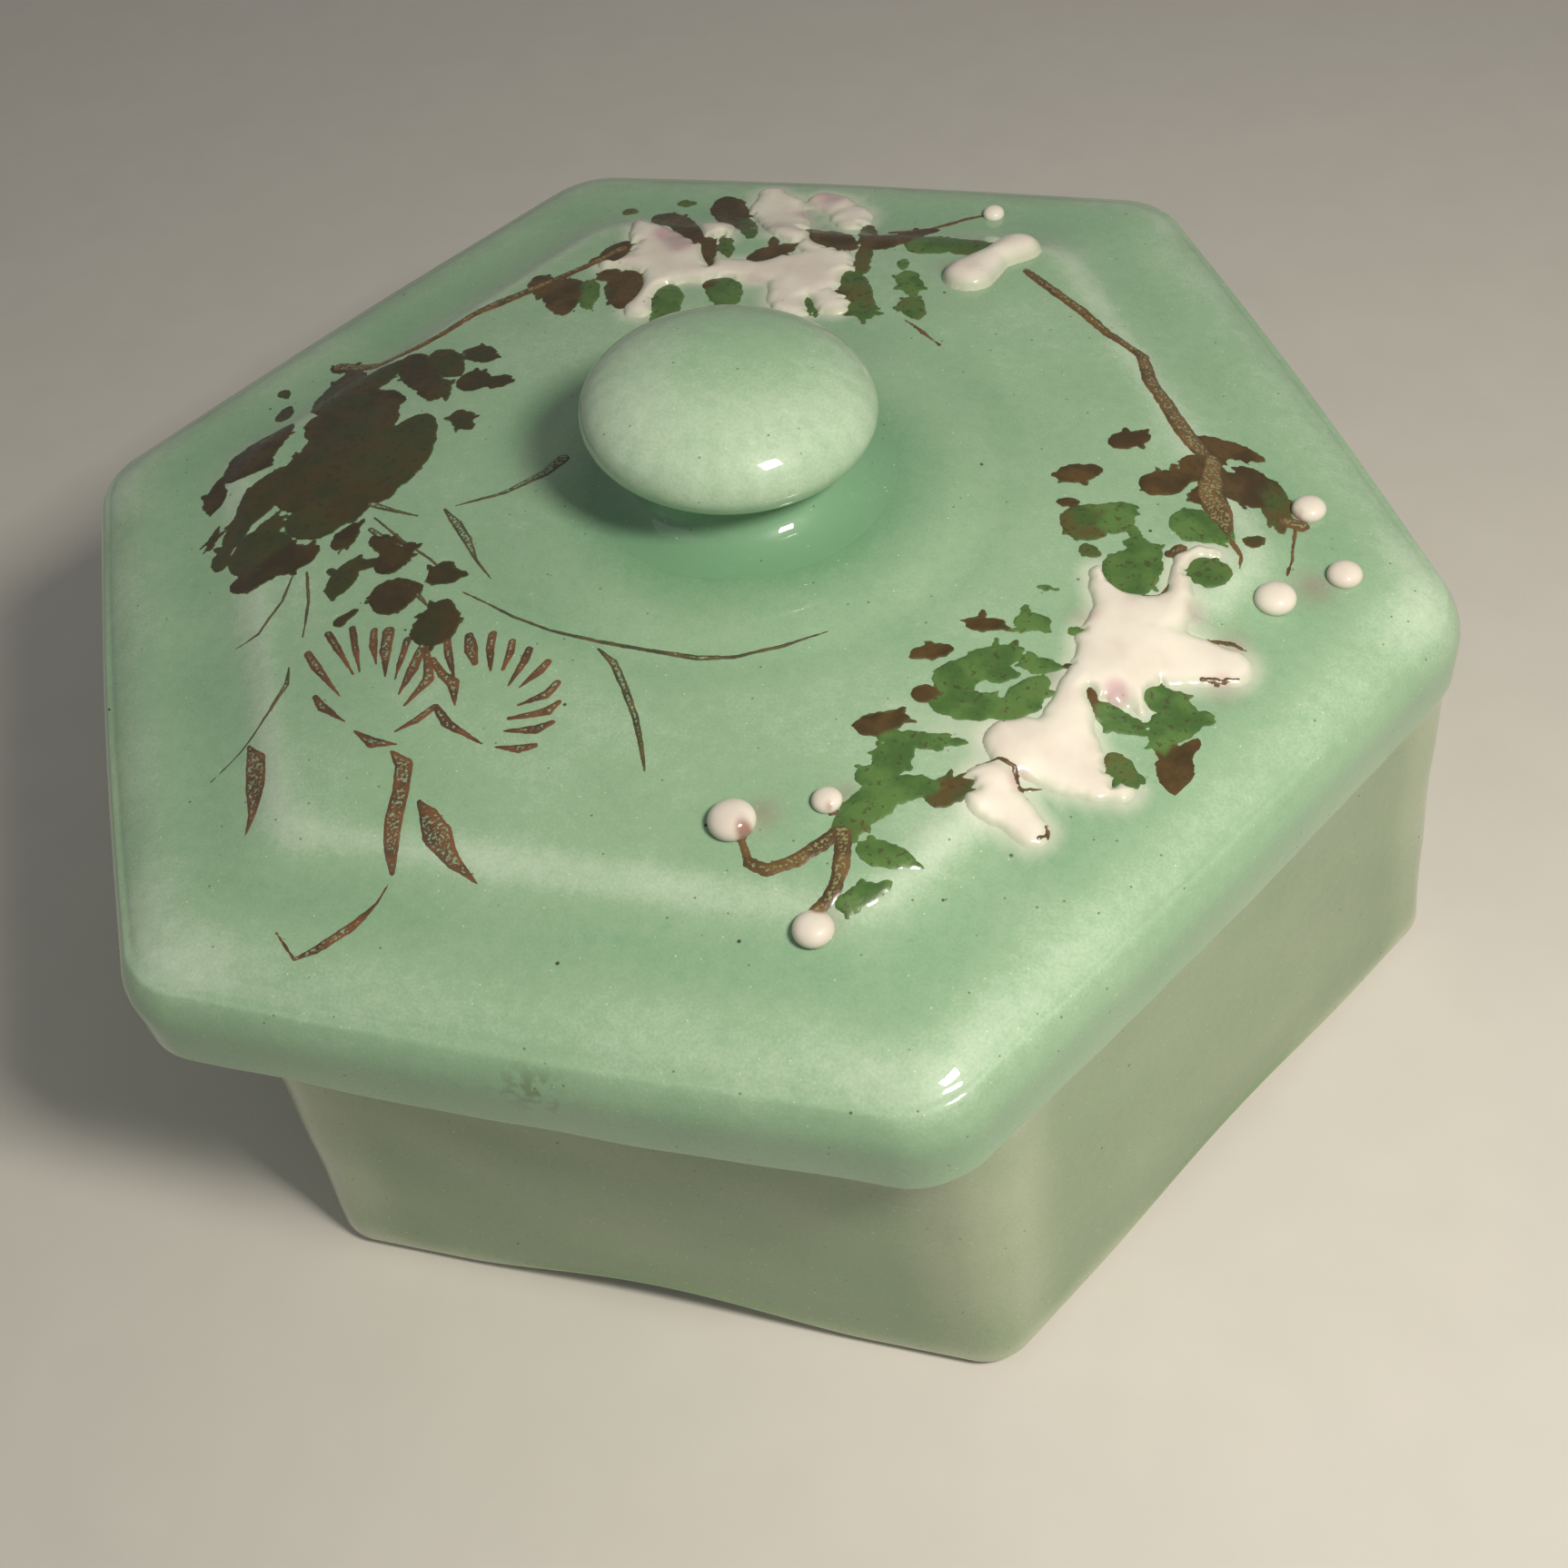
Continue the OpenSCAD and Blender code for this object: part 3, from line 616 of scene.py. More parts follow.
# The box wears the same celadon as the lid. Its darker, warmer colours here are painted shade and warm bounce light
# on the box, not a different glaze.
darkened_box_glaze = celadon("celadon_glaze_box_painted_shade", "#6A8560", "#849A76", "#B0BA9C", rough=0.48)
for piece in (lid, knob):
    piece.data.materials.append(lid_glaze)
for piece in (body, flange):
    piece.data.materials.append(darkened_box_glaze)
print("glazes:", lid_glaze.name, darkened_box_glaze.name)

# %% [markdown]
# ## Relief on the lid
# The flowers are made in layers: thick white slip first, then enamels. Each layer is drawn in plan as a set of
# simple shapes. For every point of a fine grid a function says how deep the point lies inside the nearest shape,
# in millimetres. That depth sets how high the layer stands, so one short recipe makes soft pillows of slip, thin
# flakes of enamel and fine strokes alike. Outside its outline the layer dips under the glaze, which gives a clean
# edge where it meets the lid.


# %% Depth functions for drawn shapes
def rough_edge(x, y, size, seed):
    """Repeatable unevenness for a painted edge, between about -1 and 1."""
    rng = np.random.default_rng(seed)
    total = np.zeros(np.shape(x))
    for octave in range(4):
        angle, shift = rng.uniform(0, 2 * math.pi, 2)
        c, s = math.cos(angle), math.sin(angle)
        u, v = (x * c + y * s) / size * 1.7 ** octave, (y * c - x * s) / size * 1.7 ** octave
        total += np.sin(u + shift + 1.5 * np.sin(v * 1.3 + shift)) * np.cos(v - shift) * 0.75 ** octave
    return total / 1.6


def leaf_depth(x, y, leaf):
    """Depth inside a leaf given as x, y, direction, length, width: blunt at its stalk and pointed at its tip."""
    cx, cy, turn, length, width = leaf[:5]
    c, s = math.cos(math.radians(turn)), math.sin(math.radians(turn))
    u, v = ((x - cx) * c + (y - cy) * s) / (length / 2), (y - cy) * c - (x - cx) * s
    q = np.clip(u, -1, 1)
    half = width / 2 * np.clip(1 - q * q, 0, 1) ** 0.55 * (1 - 0.28 * q)
    past = np.clip(np.abs(u) - 1, 0, None) * length / 2
    return half - np.abs(v) - past * 1.5


def limb_depth(x, y, path):
    """Depth inside a limb drawn through stations of x, y and radius."""
    best = np.full(np.shape(x), -1e3)
    for (ax, ay, ar), (bx, by, br) in zip(path[:-1], path[1:]):
        dx, dy = bx - ax, by - ay
        t = np.clip(((x - ax) * dx + (y - ay) * dy) / max(dx * dx + dy * dy, 1e-9), 0, 1)
        best = np.maximum(best, ar + (br - ar) * t - np.hypot(x - ax - dx * t, y - ay - dy * t))
    return best


def blended(depths, soft):
    """The union of shapes, flowing into each other where they meet."""
    return soft * np.log(np.sum([np.exp(np.clip(d / soft, -40, 40)) for d in depths], axis=0))


# %% Relief builder
SINK = 0.22


def relief(name, depth_of, window, pitch, rise, edge, domed=False, extras=(), lies_on=lid_height):
    """A closed layer on the lid. depth_of(x, y) gives the depth inside its outline in mm."""
    xs = np.arange(window[0], window[2] + pitch, pitch)
    ys = np.arange(window[1], window[3] + pitch, pitch)
    gx, gy = np.meshgrid(xs, ys)
    depth = depth_of(gx, gy)
    share = np.clip(depth / edge, 0, 1)
    up = rise * (np.sqrt(1 - (1 - share) ** 2) if domed else share * (2 - share))
    up = np.where(depth > 0, up, np.maximum(depth * rise / edge * (3 if domed else 2), -SINK * 0.7))
    ground, under = lies_on(gx, gy), lid_height(gx, gy)
    kept = depth > -1.6 * pitch
    cells = kept[:-1, :-1] | kept[1:, :-1] | kept[:-1, 1:] | kept[1:, 1:]
    rows, cols = np.nonzero(cells)
    used = np.zeros(gx.shape, bool)
    for di, dj in ((0, 0), (1, 0), (0, 1), (1, 1)):
        used[rows + di, cols + dj] = True
    index = np.full(gx.shape, -1)
    index[used] = np.arange(used.sum())
    count = int(used.sum())
    top_points = np.column_stack([gx[used], gy[used], (ground + up)[used]])
    low_points = np.column_stack([gx[used], gy[used], under[used] - SINK])
    a, b = index[rows, cols], index[rows, cols + 1]
    c, d = index[rows + 1, cols + 1], index[rows + 1, cols]
    faces = np.column_stack([a, b, c, d])
    edges = np.vstack([faces[:, [0, 1]], faces[:, [1, 2]], faces[:, [2, 3]], faces[:, [3, 0]]])
    known = set(map(tuple, edges.tolist()))
    rim = [(p, q) for p, q in known if (q, p) not in known]
    walls = [(q, p, p + count, q + count) for p, q in rim]
    every = faces.tolist() + (faces[:, ::-1] + count).tolist() + walls
    obj = mesh_object(name, np.vstack([top_points, low_points]), every)
    paint(obj, "depth", np.tile(np.clip(depth[used] / edge, 0, 1), 2))
    for key, value_of in extras:
        paint(obj, key, np.tile(np.clip(value_of(gx[used], gy[used]), 0, 1), 2))
    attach(obj, "lid")
    print(name, "-", count, "points on top")
    return obj


def near(x, y, spots):
    """How strongly a point is touched by soft spots of x, y, radius and strength."""
    return np.sum([weight * bell(np.hypot(x - sx, y - sy), 0, r) for sx, sy, r, weight in spots], axis=0)


# %% [markdown]
# ## Leaves
# Leaves were dabbed on with a loaded brush in green enamel, over a brown one in places. Each dab is a blunt
# teardrop, and neighbours run together into ragged clumps. The enamel is a skin about a tenth of a millimetre
# thick with a crisp torn edge. Every leaf also says how brown it is, from 0 for green to 1 for brown.

# %% Leaf lists: x, y, direction, length, width, brown
side_leaf_list = [
    (27.8, 9.7, 30, 3.2, 1.9, 0.95), (25.0, 5.4, 28, 3.4, 2.0, 0.95), (24.8, 2.2, 12, 1.7, 0.9, 0.9),
    (26.5, 0.6, 50, 4.0, 3.5, 0.5), (28.0, 1.4, 55, 3.6, 3.0, 0.15), (28.2, 2.2, 20, 2.8, 0.9, 0.1),
    (27.0, -2.2, -25, 1.7, 1.2, 0.5),
    (29.9, -0.6, -60, 3.2, 0.9, 0.1), (30.0, -3.4, 40, 4.1, 4.0, 0.3), (30.4, -2.2, 60, 3.4, 2.6, 0.15),
    (34.8, -2.5, 10, 2.9, 2.7, 0.35),
    (33.8, 1.5, -20, 4.6, 3.2, 0.1), (37.3, 1.3, 50, 1.9, 1.0, 0.7), (34.6, 11.1, -8, 5.0, 2.2, 0.85),
    (33.0, 10.2, -50, 3.6, 2.0, 1.0), (30.9, 5.8, 40, 4.0, 2.6, 0.95), (33.6, 7.6, -20, 4.4, 3.0, 1.0),
    (35.6, 6.6, -30, 4.6, 3.2, 0.9), (36.8, 8.2, -35, 3.6, 2.0, 0.9), (38.2, 5.8, -75, 6.0, 2.3, 0.55),
    (24.9, -6.0, 0, 1.5, 0.6, 0.1), (24.4, -9.1, 15, 2.4, 1.6, 0.15), (23.8, -8.4, 95, 1.4, 0.7, 0.1),
    (21.5, -9.9, 18, 2.6, 1.3, 0.8), (18.8, -12.8, 22, 2.5, 1.4, 0.9), (27.3, -9.3, 25, 1.3, 0.7, 0.2),
    (22.6, -12.6, 35, 4.2, 2.2, 0.1), (23.6, -11.6, 80, 1.6, 1.0, 0.1), (25.6, -12.6, 5, 2.8, 1.3, 0.15),
    (27.3, -12.2, 40, 0.9, 0.5, 1.0), (23.4, -13.8, 15, 2.3, 1.4, 0.15),
    (20.8, -14.4, 60, 4.0, 2.8, 0.1), (22.4, -16.6, 8, 6.2, 2.3, 0.15),
    (25.2, -15.0, 60, 3.6, 2.3, 0.2), (24.6, -16.4, 20, 3.4, 1.9, 0.3), (19.2, -16.3, 20, 2.2, 1.5, 1.0),
    (16.9, -19.2, 28, 3.5, 1.9, 0.95), (19.6, -20.0, 8, 5.6, 1.3, 0.1), (18.2, -21.4, 65, 3.8, 2.2, 0.15),
    (17.6, -23.0, 30, 3.2, 1.9, 0.1), (19.4, -23.8, 15, 4.6, 2.0, 0.15), (22.0, -23.4, 40, 3.4, 2.1, 0.6),
    (17.8, -25.2, 50, 4.2, 2.5, 0.15), (16.8, -26.8, 75, 3.0, 2.0, 0.35), (19.3, -28.8, -2, 3.8, 1.9, 0.2),
    (18.6, -31.8, 35, 3.6, 1.4, 0.25), (33.8, -13.2, -12, 3.6, 2.3, 0.25), (34.6, -14.8, 42, 4.4, 2.2, 0.1),
    (33.8, -16.0, -80, 4.4, 2.0, 0.15), (35.2, -16.8, 66, 3.0, 1.5, 0.95), (34.9, -18.5, -80, 4.0, 2.6, 1.0),
    (29.2, -14.6, -65, 2.2, 0.9, 0.8), (31.0, -15.4, -15, 3.8, 1.9, 0.25), (31.7, -19.0, -45, 3.2, 1.9, 0.4),
    (33.6, 5.0, 95, 2.4, 2.2, 0.85),
]
left_leaf_list = [
    (-30.6, 10.4, 60, 6.4, 3.0, 0.5), (-28.6, 5.2, 90, 6.4, 4.8, 0.5), (-27.4, 1.0, 82, 8.6, 3.4, 0.5),
    (-32.0, -0.8, 88, 5.2, 2.6, 0.6), (-31.4, 5.4, 70, 6.4, 4.0, 0.7), (-25.2, 12.4, -40, 4.8, 2.8, 0.5),
    (-24.8, 1.4, 82, 9.4, 6.0, 0.45), (-25.0, -1.6, 70, 5.4, 4.6, 0.55), (-33.0, 9.2, 100, 7.6, 4.4, 0.55),
    (-30.6, 7.6, -10, 7.2, 3.8, 0.55), (-28.6, 7.4, 10, 3.8, 3.4, 0.9), (-30.2, 3.0, 88, 9.0, 5.0, 0.55),
    (-30.0, -2.0, 80, 7.0, 6.4, 0.55), (-26.6, -4.0, 60, 6.0, 4.6, 0.55), (-28.2, -5.4, 100, 5.4, 4.8, 0.45),
    (-33.6, -3.6, 80, 6.4, 3.2, 0.55), (-34.4, -6.2, 88, 5.6, 2.3, 0.45), (-34.7, -8.9, 95, 3.8, 1.7, 0.45),
    (-36.4, -7.4, 95, 2.6, 1.0, 0.6), (-36.5, 1.4, 72, 7.4, 3.7, 0.95), (-36.2, -0.6, 20, 3.6, 2.4, 0.95),
    (-38.3, -3.1, 100, 3.9, 1.8, 0.9), (-31.4, -9.2, 20, 5.2, 4.2, 0.45), (-28.6, -10.0, 8, 4.0, 3.2, 0.9),
    (-27.4, -9.6, 60, 2.4, 1.4, 0.9), (-30.8, -12.0, 8, 3.8, 2.0, 0.7), (-31.6, -7.0, 80, 2.6, 2.0, 0.45),
    (-27.0, 11.0, -52, 6.6, 2.9, 0.75), (-25.6, 9.6, -60, 4.6, 2.2, 0.75), (-24.0, 9.0, -62, 3.2, 1.2, 0.45),
    (-21.9, 10.2, -15, 3.0, 2.6, 0.7), (-19.7, 10.2, 8, 2.3, 1.7, 0.7), (-22.6, 13.6, -28, 3.0, 2.2, 0.6),
    (-23.8, 14.1, 10, 1.4, 0.6, 0.6), (-20.9, 5.4, -45, 3.1, 1.8, 0.55), (-37.2, 6.9, 100, 2.3, 1.5, 0.6),
    (-38.6, 9.5, -40, 1.6, 1.0, 0.4), (-25.0, -7.6, 78, 2.9, 1.9, 0.95), (-21.0, -8.6, -28, 4.6, 1.8, 0.9),
    (-20.3, -9.4, 60, 3.6, 2.4, 0.9), (-22.2, -10.2, 20, 2.6, 1.2, 0.55), (-23.5, -11.5, 84, 3.9, 2.2, 0.45),
    (-18.8, -12.9, 30, 3.9, 3.4, 0.9), (-16.0, -10.8, -15, 2.6, 2.3, 0.65), (-14.8, -15.2, 92, 4.4, 3.3, 0.6),
    (-15.8, -14.6, 20, 1.8, 0.6, 0.7), (-21.7, -15.2, 52, 2.1, 1.0, 0.9), (-34.8, 13.0, 0, 2.8, 1.5, 0.9),
    (-33.6, 12.0, -60, 2.4, 1.6, 0.9),
]
back_leaf_list = [
    (-16.3, 28.0, 75, 3.6, 2.4, 0.95), (-17.6, 26.8, 60, 2.0, 0.8, 0.95), (-18.6, 21.4, -70, 5.4, 3.4, 0.85),
    (-16.6, 21.6, -72, 4.2, 2.0, 0.3), (-20.8, 22.8, -50, 4.4, 2.2, 0.85), (-13.8, 22.5, -76, 5.6, 3.2, 0.75),
    (-15.2, 24.2, -30, 3.2, 1.8, 0.8), (-9.6, 20.4, -78, 6.4, 2.6, 0.1), (-10.6, 21.0, 150, 1.6, 0.8, 0.8),
    (-5.5, 22.8, -66, 4.8, 2.8, 0.3), (-6.6, 24.0, 30, 2.2, 1.8, 0.8), (-8.7, 28.8, -72, 4.8, 1.5, 0.85),
    (-7.5, 29.6, -65, 3.6, 1.2, 0.4), (-3.4, 29.2, 42, 4.8, 2.2, 0.75), (-3.8, 30.8, 110, 1.8, 1.0, 0.6),
    (-13.4, 34.2, -28, 5.2, 2.8, 0.75), (-11.6, 32.2, -48, 6.4, 2.2, 0.9), (-9.2, 36.4, -62, 6.6, 3.2, 0.85),
    (-7.0, 33.6, -62, 5.6, 1.8, 0.5), (-13.6, 37.9, 8, 1.8, 1.2, 0.4), (-18.0, 36.0, 0, 1.5, 1.2, 0.4),
    (1.0, 31.8, -35, 5.2, 3.2, 0.95), (-0.8, 33.0, -45, 3.2, 1.5, 0.9), (3.5, 32.6, -76, 6.4, 1.6, 0.6),
    (4.1, 28.8, -80, 5.4, 1.3, 0.5), (5.6, 32.4, 35, 5.2, 2.8, 0.9), (7.2, 34.4, 30, 3.8, 1.8, 0.95),
    (9.4, 32.0, 8, 5.4, 3.4, 0.3), (12.2, 31.8, -8, 4.8, 2.8, 0.45), (4.9, 24.0, -62, 6.8, 2.3, 0.45),
    (3.6, 23.8, 160, 1.8, 0.8, 0.9), (5.8, 21.6, -50, 3.0, 2.0, 0.4), (8.6, 25.6, -68, 4.2, 1.9, 0.15),
    (9.6, 22.2, -62, 3.4, 2.0, 0.35), (7.4, 28.4, -80, 1.8, 0.9, 0.1), (1.6, 21.8, -66, 2.6, 0.9, 0.1),
]


def with_points(leaves, seed):
    """The leaves with short sharp points along their edges, where the brush was lifted."""
    rng = np.random.default_rng(seed)
    points = []
    for x, y, turn, length, width, brown in leaves:
        if length < 2.4:
            continue
        for angle in rng.uniform(0, 360, 3):
            a, c, s = math.radians(angle), math.cos(math.radians(turn)), math.sin(math.radians(turn))
            u, v = 0.42 * length * math.cos(a), 0.40 * width * math.sin(a)
            way = turn + math.degrees(math.atan2(v, u)) + rng.uniform(-25, 25)
            length_of_point, width_of_point = rng.uniform(1.1, 1.7), rng.uniform(0.5, 0.8)
            points.append((x + u * c - v * s, y + u * s + v * c, way, length_of_point, width_of_point, brown))
    return leaves + points


side_leaf_list = with_points(side_leaf_list, 3)
left_leaf_list = with_points(left_leaf_list, 5)
back_leaf_list = with_points(back_leaf_list, 7)
print(len(side_leaf_list + left_leaf_list + back_leaf_list), "dabs of enamel")

# %% [markdown]
# ## White slip blossoms
# Slip is liquid porcelain clay. It was trailed on thickly, so it stands half a millimetre proud with rounded
# shoulders, and its lobes ran together. Under the clear glaze it is a warm white with a blush of pink and mauve
# where a thin colour was washed over it.

# %% Blossoms
side_limbs = [
    [(35.0, -0.8, 0.45), (33.9, -0.9, 0.6), (33.1, -1.9, 0.72), (33.0, -3.4, 0.75), (33.2, -5.0, 0.85),
     (32.4, -6.9, 1.5)],
    [(27.9, -4.2, 0.75), (28.5, -5.3, 1.0), (29.6, -7.0, 1.5), (31.0, -7.2, 1.7), (32.5, -6.8, 1.4)],
    [(30.0, -8.6, 2.3), (30.5, -10.0, 3.2), (32.6, -9.9, 2.2), (35.2, -9.6, 1.75), (36.9, -9.55, 1.5)],
    [(30.4, -10.6, 3.0), (29.0, -12.4, 1.7), (28.0, -14.4, 1.2), (27.9, -16.4, 1.5), (28.1, -18.5, 2.4)],
    [(31.4, -11.8, 1.1), (32.1, -14.3, 0.35)],
    [(30.4, -12.4, 1.2), (30.6, -13.9, 0.7)],
    [(25.3, -18.9, 2.15), (28.2, -19.4, 2.2), (30.2, -20.0, 1.6), (31.8, -20.5, 0.95)],
    [(24.2, -22.5, 1.65), (24.3, -23.4, 1.4), (25.6, -23.7, 1.4), (27.1, -24.6, 1.15)],
]
side_tint = [(30.5, -13.7, 1.0, 1.0), (27.8, -8.0, 1.0, 0.6), (34.2, -6.0, 0.8, 0.6), (36.8, -7.9, 0.9, 0.6),
             (25.8, -21.6, 0.9, 0.8), (36.6, -11.0, 1.0, 0.7), (23.2, -21.0, 0.8, 0.5), (27.0, -13.4, 0.8, 0.4)]
back_limbs = [
    [(-16.0, 32.8, 0.75), (-14.8, 31.2, 1.45), (-13.2, 29.0, 2.45), (-11.8, 27.6, 3.05), (-10.4, 26.4, 2.65),
     (-7.4, 25.8, 1.65)],
    [(-7.4, 25.8, 1.65), (-4.4, 26.3, 1.55), (-1.6, 26.6, 2.25), (0.6, 26.8, 3.25), (1.4, 28.4, 2.05)],
    [(0.4, 25.4, 2.95), (0.2, 23.2, 2.35), (0.4, 21.8, 1.85), (2.6, 22.6, 1.75), (3.6, 21.9, 1.25)],
    [(-11.0, 25.0, 1.95), (-11.6, 22.6, 1.35), (-11.6, 20.0, 1.3)],
    [(-16.4, 26.0, 0.75), (-14.0, 26.6, 1.15)],
    [(-9.3, 32.6, 1.55), (-8.6, 30.8, 1.05)],
    [(-6.7, 40.0, 1.15), (-5.6, 37.6, 2.35), (-4.2, 35.2, 2.05), (-3.2, 33.2, 1.75), (-1.6, 31.2, 0.95),
     (0.2, 29.8, 1.05)],
    [(-2.0, 39.2, 1.35), (-0.6, 38.6, 1.45)],
    [(1.1, 36.7, 1.75), (1.5, 35.9, 1.45)],
]
back_tint = [(-12.6, 30.8, 1.5, 1.3), (-11.0, 28.8, 1.5, 0.9), (-1.4, 39.2, 1.8, 0.9), (-2.8, 36.4, 1.2, 0.7),
             (-3.8, 24.6, 1.3, 0.6), (-1.0, 27.0, 2.4, 0.35), (-14.6, 26.4, 1.2, 0.5)]
SLIP_RISE, SLIP_EDGE = 0.5, 1.6
slip_white, slip_depths = [], []
for name, limbs, leaves, window, tint, node in [
    ("side_blossom_slip", side_limbs, side_leaf_list, (21, -28, 41, 2), side_tint, "side_blossom"),
    ("back_blossom_slip", back_limbs, back_leaf_list, (-20, 17, 7, 43), back_tint, "back_blossom"),
]:
    def slip_depth(x, y, limbs=limbs, leaves=leaves):
        depth = blended([limb_depth(x, y, path) for path in limbs], 0.28)
        over = np.max([leaf_depth(x, y, leaf) for leaf in leaves], axis=0)
        return np.minimum(depth + 0.12 * rough_edge(x, y, 1.3, 4), 0.15 - over)

    piece = relief(name, slip_depth, window, 0.16, SLIP_RISE, SLIP_EDGE, domed=True,
                   extras=[("tint", lambda x, y, tint=tint: near(x, y, tint))])
    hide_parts(node)
    slip_white.append(piece)
    slip_depths.append(slip_depth)


def slip_top(x, y):
    """Height of the lid together with the blossoms on it, for colour painted over both."""
    share = np.clip(np.max([depth(x, y) for depth in slip_depths], axis=0) / SLIP_EDGE, 0, 1)
    return lid_height(x, y) + SLIP_RISE * np.sqrt(1 - (1 - share) ** 2)


# %% [markdown]
# Where the slip thins out it sinks into the glaze and leaves a milky haze round the flower. The blush wash also
# ran a little over the edge. Both are stored on the lid, and one old smudge of enamel on the front rim too.

# %% Haze and stains on the lid
lid_x, lid_y = np.asarray([v.co[:2] for v in lid.data.vertices]).T / MM
lid_z = np.asarray([v.co[2] for v in lid.data.vertices]) / MM
upper = lid_z > lid_height(lid_x, lid_y) - 0.8
slip_near = np.max([limb_depth(lid_x, lid_y, path) for path in side_limbs + back_limbs], axis=0)
hazy = [(21.2, -26.6, 1.4, 0.12), (17.6, -18.4, 1.2, 0.2), (21.4, -18.6, 2.0, 0.3),
        (33.4, -13.0, 2.2, 0.15), (-4.6, 24.4, 1.8, 0.3), (-15.4, 26.2, 1.2, 0.3)]
haze = 0.55 * smooth_step(slip_near, -1.3, 0.1) + near(lid_x, lid_y, hazy)
blushes = [(41.4, -1.5, 1.4, 0.55), (11.3, -27.3, 1.2, 0.5), (15.8, -25.0, 0.9, 0.4), (16.9, -33.6, 0.9, 0.4),
           (27.3, -8.0, 0.9, 0.35), (34.4, -6.2, 0.8, 0.5), (36.9, -7.6, 1.1, 0.45), (36.8, -11.6, 1.1, 0.3),
           (26.2, -13.4, 1.0, 0.35), (39.4, 4.6, 1.0, 0.5), (-3.4, 36.4, 1.3, 0.4), (11.0, 28.6, 1.0, 0.3)]
paint(lid, "haze", np.clip(haze * upper, 0, 0.7))
paint(lid, "blush", np.clip(near(lid_x, lid_y, blushes) * upper, 0, 0.6))
on_rim = bell(lid_x, 1.6, 2.2) * (lid_y < -43.5) * bell(lid_z, SEAT_Z + 4.4, 1.6)
paint(lid, "smudge", 0.6 * on_rim)

# %% [markdown]
# ## Slip buds
# Buds are single drops of the same slip. A drop set down from a trailer is a low dome with a slightly tucked
# edge, so each one is a flattened ball pushed a little into the glaze. One long bud at the back is two drops that
# ran together.


# %% Buds
def drop(x, y, r, rise):
    """Points and faces of one flattened ball of slip."""
    around, up = 40, 18
    rows = [[(x, y, float(lid_height(x, y)) + rise)]]
    for j in range(1, up):
        t = math.pi * j / up
        rr = r * math.sin(t) ** 0.9
        rows.append([(x + rr * math.cos(p), y + rr * math.sin(p),
                      float(lid_height(x, y)) + rise * 0.25 + rise * 0.75 * math.cos(t))
                     for p in np.linspace(0, 2 * math.pi, around, endpoint=False)])
    rows.append([(x, y, float(lid_height(x, y)) - rise * 0.5)])
    points = [p for row in rows for p in row]
    faces = [(0, 1 + i, 1 + (i + 1) % around) for i in range(around)]
    for j in range(up - 2):
        a, b = 1 + j * around, 1 + (j + 1) * around
        faces += [(a + i, b + i, b + (i + 1) % around, a + (i + 1) % around) for i in range(around)]
    end = len(points) - 1
    faces += [(end, end - around + (i + 1) % around, end - around + i) for i in range(around)]
    return points, faces


buds = [(9.7, -28.2, 1.5, 1.25), (15.0, -25.8, 0.95, 0.8), (16.2, -34.3, 1.25, 1.1), (39.1, -3.4, 1.35, 1.15),
        (43.2, -0.2, 1.15, 0.95), (40.4, 5.8, 1.15, 0.95), (12.6, 38.3, 0.85, 0.8)]
points, faces = [], []
for bud in buds:
    more, sides = drop(*bud)
    faces += [tuple(i + len(points) for i in side) for side in sides]
    points += more
drops = mesh_object("slip_drops", points, faces)
spots = np.array(points)
bud_tint = [(16.0, -33.3, 0.5, 0.6), (10.6, -28.6, 0.6, 0.6), (41.6, -1.4, 1.4, 0.5)]
paint(drops, "tint", near(spots[:, 0], spots[:, 1], bud_tint))
stains = [(10.8, -29.1, 0.6, 0.9), (15.5, -26.6, 0.5, 0.8), (16.3, -33.2, 0.5, 0.9), (39.6, 4.9, 0.55, 0.8)]
paint(drops, "stain", np.clip(near(spots[:, 0], spots[:, 1], stains), 0, 1))
paint(drops, "depth", np.ones(len(points)))
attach(drops, "lid")
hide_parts("slip_buds")
long_bud_path = [(13.0, 27.2, 2.1), (14.4, 29.7, 1.4), (15.9, 31.5, 1.8)]
long_bud = relief("long_bud_slip", lambda x, y: blended([limb_depth(x, y, long_bud_path)], 0.2), (10, 24, 19, 34),
                  0.16, 1.2, 1.7, domed=True, extras=[("tint", lambda x, y: near(x, y, [(11.4, 27.4, 0.8, 0.8)]))])
slip_white += [drops, long_bud]
print(len(buds), "drops and one long bud")

# %% [markdown]
# The leaf dabs above are now laid as enamel. A dab's own brownness spreads into its neighbours where they meet.

# %% Lay the leaves
ENAMEL_RISE = 0.06
enamels = []


def brown_share(leaves):
    """A function of x and y that gives the brownness of the nearest leaf."""
    def share(x, y):
        total, weight = np.zeros(np.shape(x)), np.full(np.shape(x), 1e-9)
        for leaf in leaves:
            w = np.exp(np.clip(leaf_depth(x, y, leaf) / 0.3, -30, 12))
            total, weight = total + w * leaf[5], weight + w
        return total / weight
    return share


for name, leaves, window, node, slot in [
    ("side_leaf_enamel", side_leaf_list, (22, -35, 42, 14), "side_leaves", "green_enamel"),
    ("left_leaf_enamel", left_leaf_list, (-41, -19, -11, 17), "left_leaves", "olive_enamel"),
    ("back_leaf_enamel", back_leaf_list, (-25, 16, 16, 41), "back_leaves", "green_enamel"),
]:
    def dab_depth(x, y, leaves=leaves):
        depth = np.max([leaf_depth(x, y, leaf) for leaf in leaves], axis=0)
        return depth + 0.14 * rough_edge(x, y, 0.8, 11) + 0.08 * rough_edge(x, y, 0.3, 5)

    low_x = 14 if node == "side_leaves" else window[0]
    piece = relief(name, dab_depth, (low_x, *window[1:]), 0.125, ENAMEL_RISE, 0.35,
                   extras=[("brown", brown_share(leaves))])
    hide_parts(node)
    enamels.append(piece)

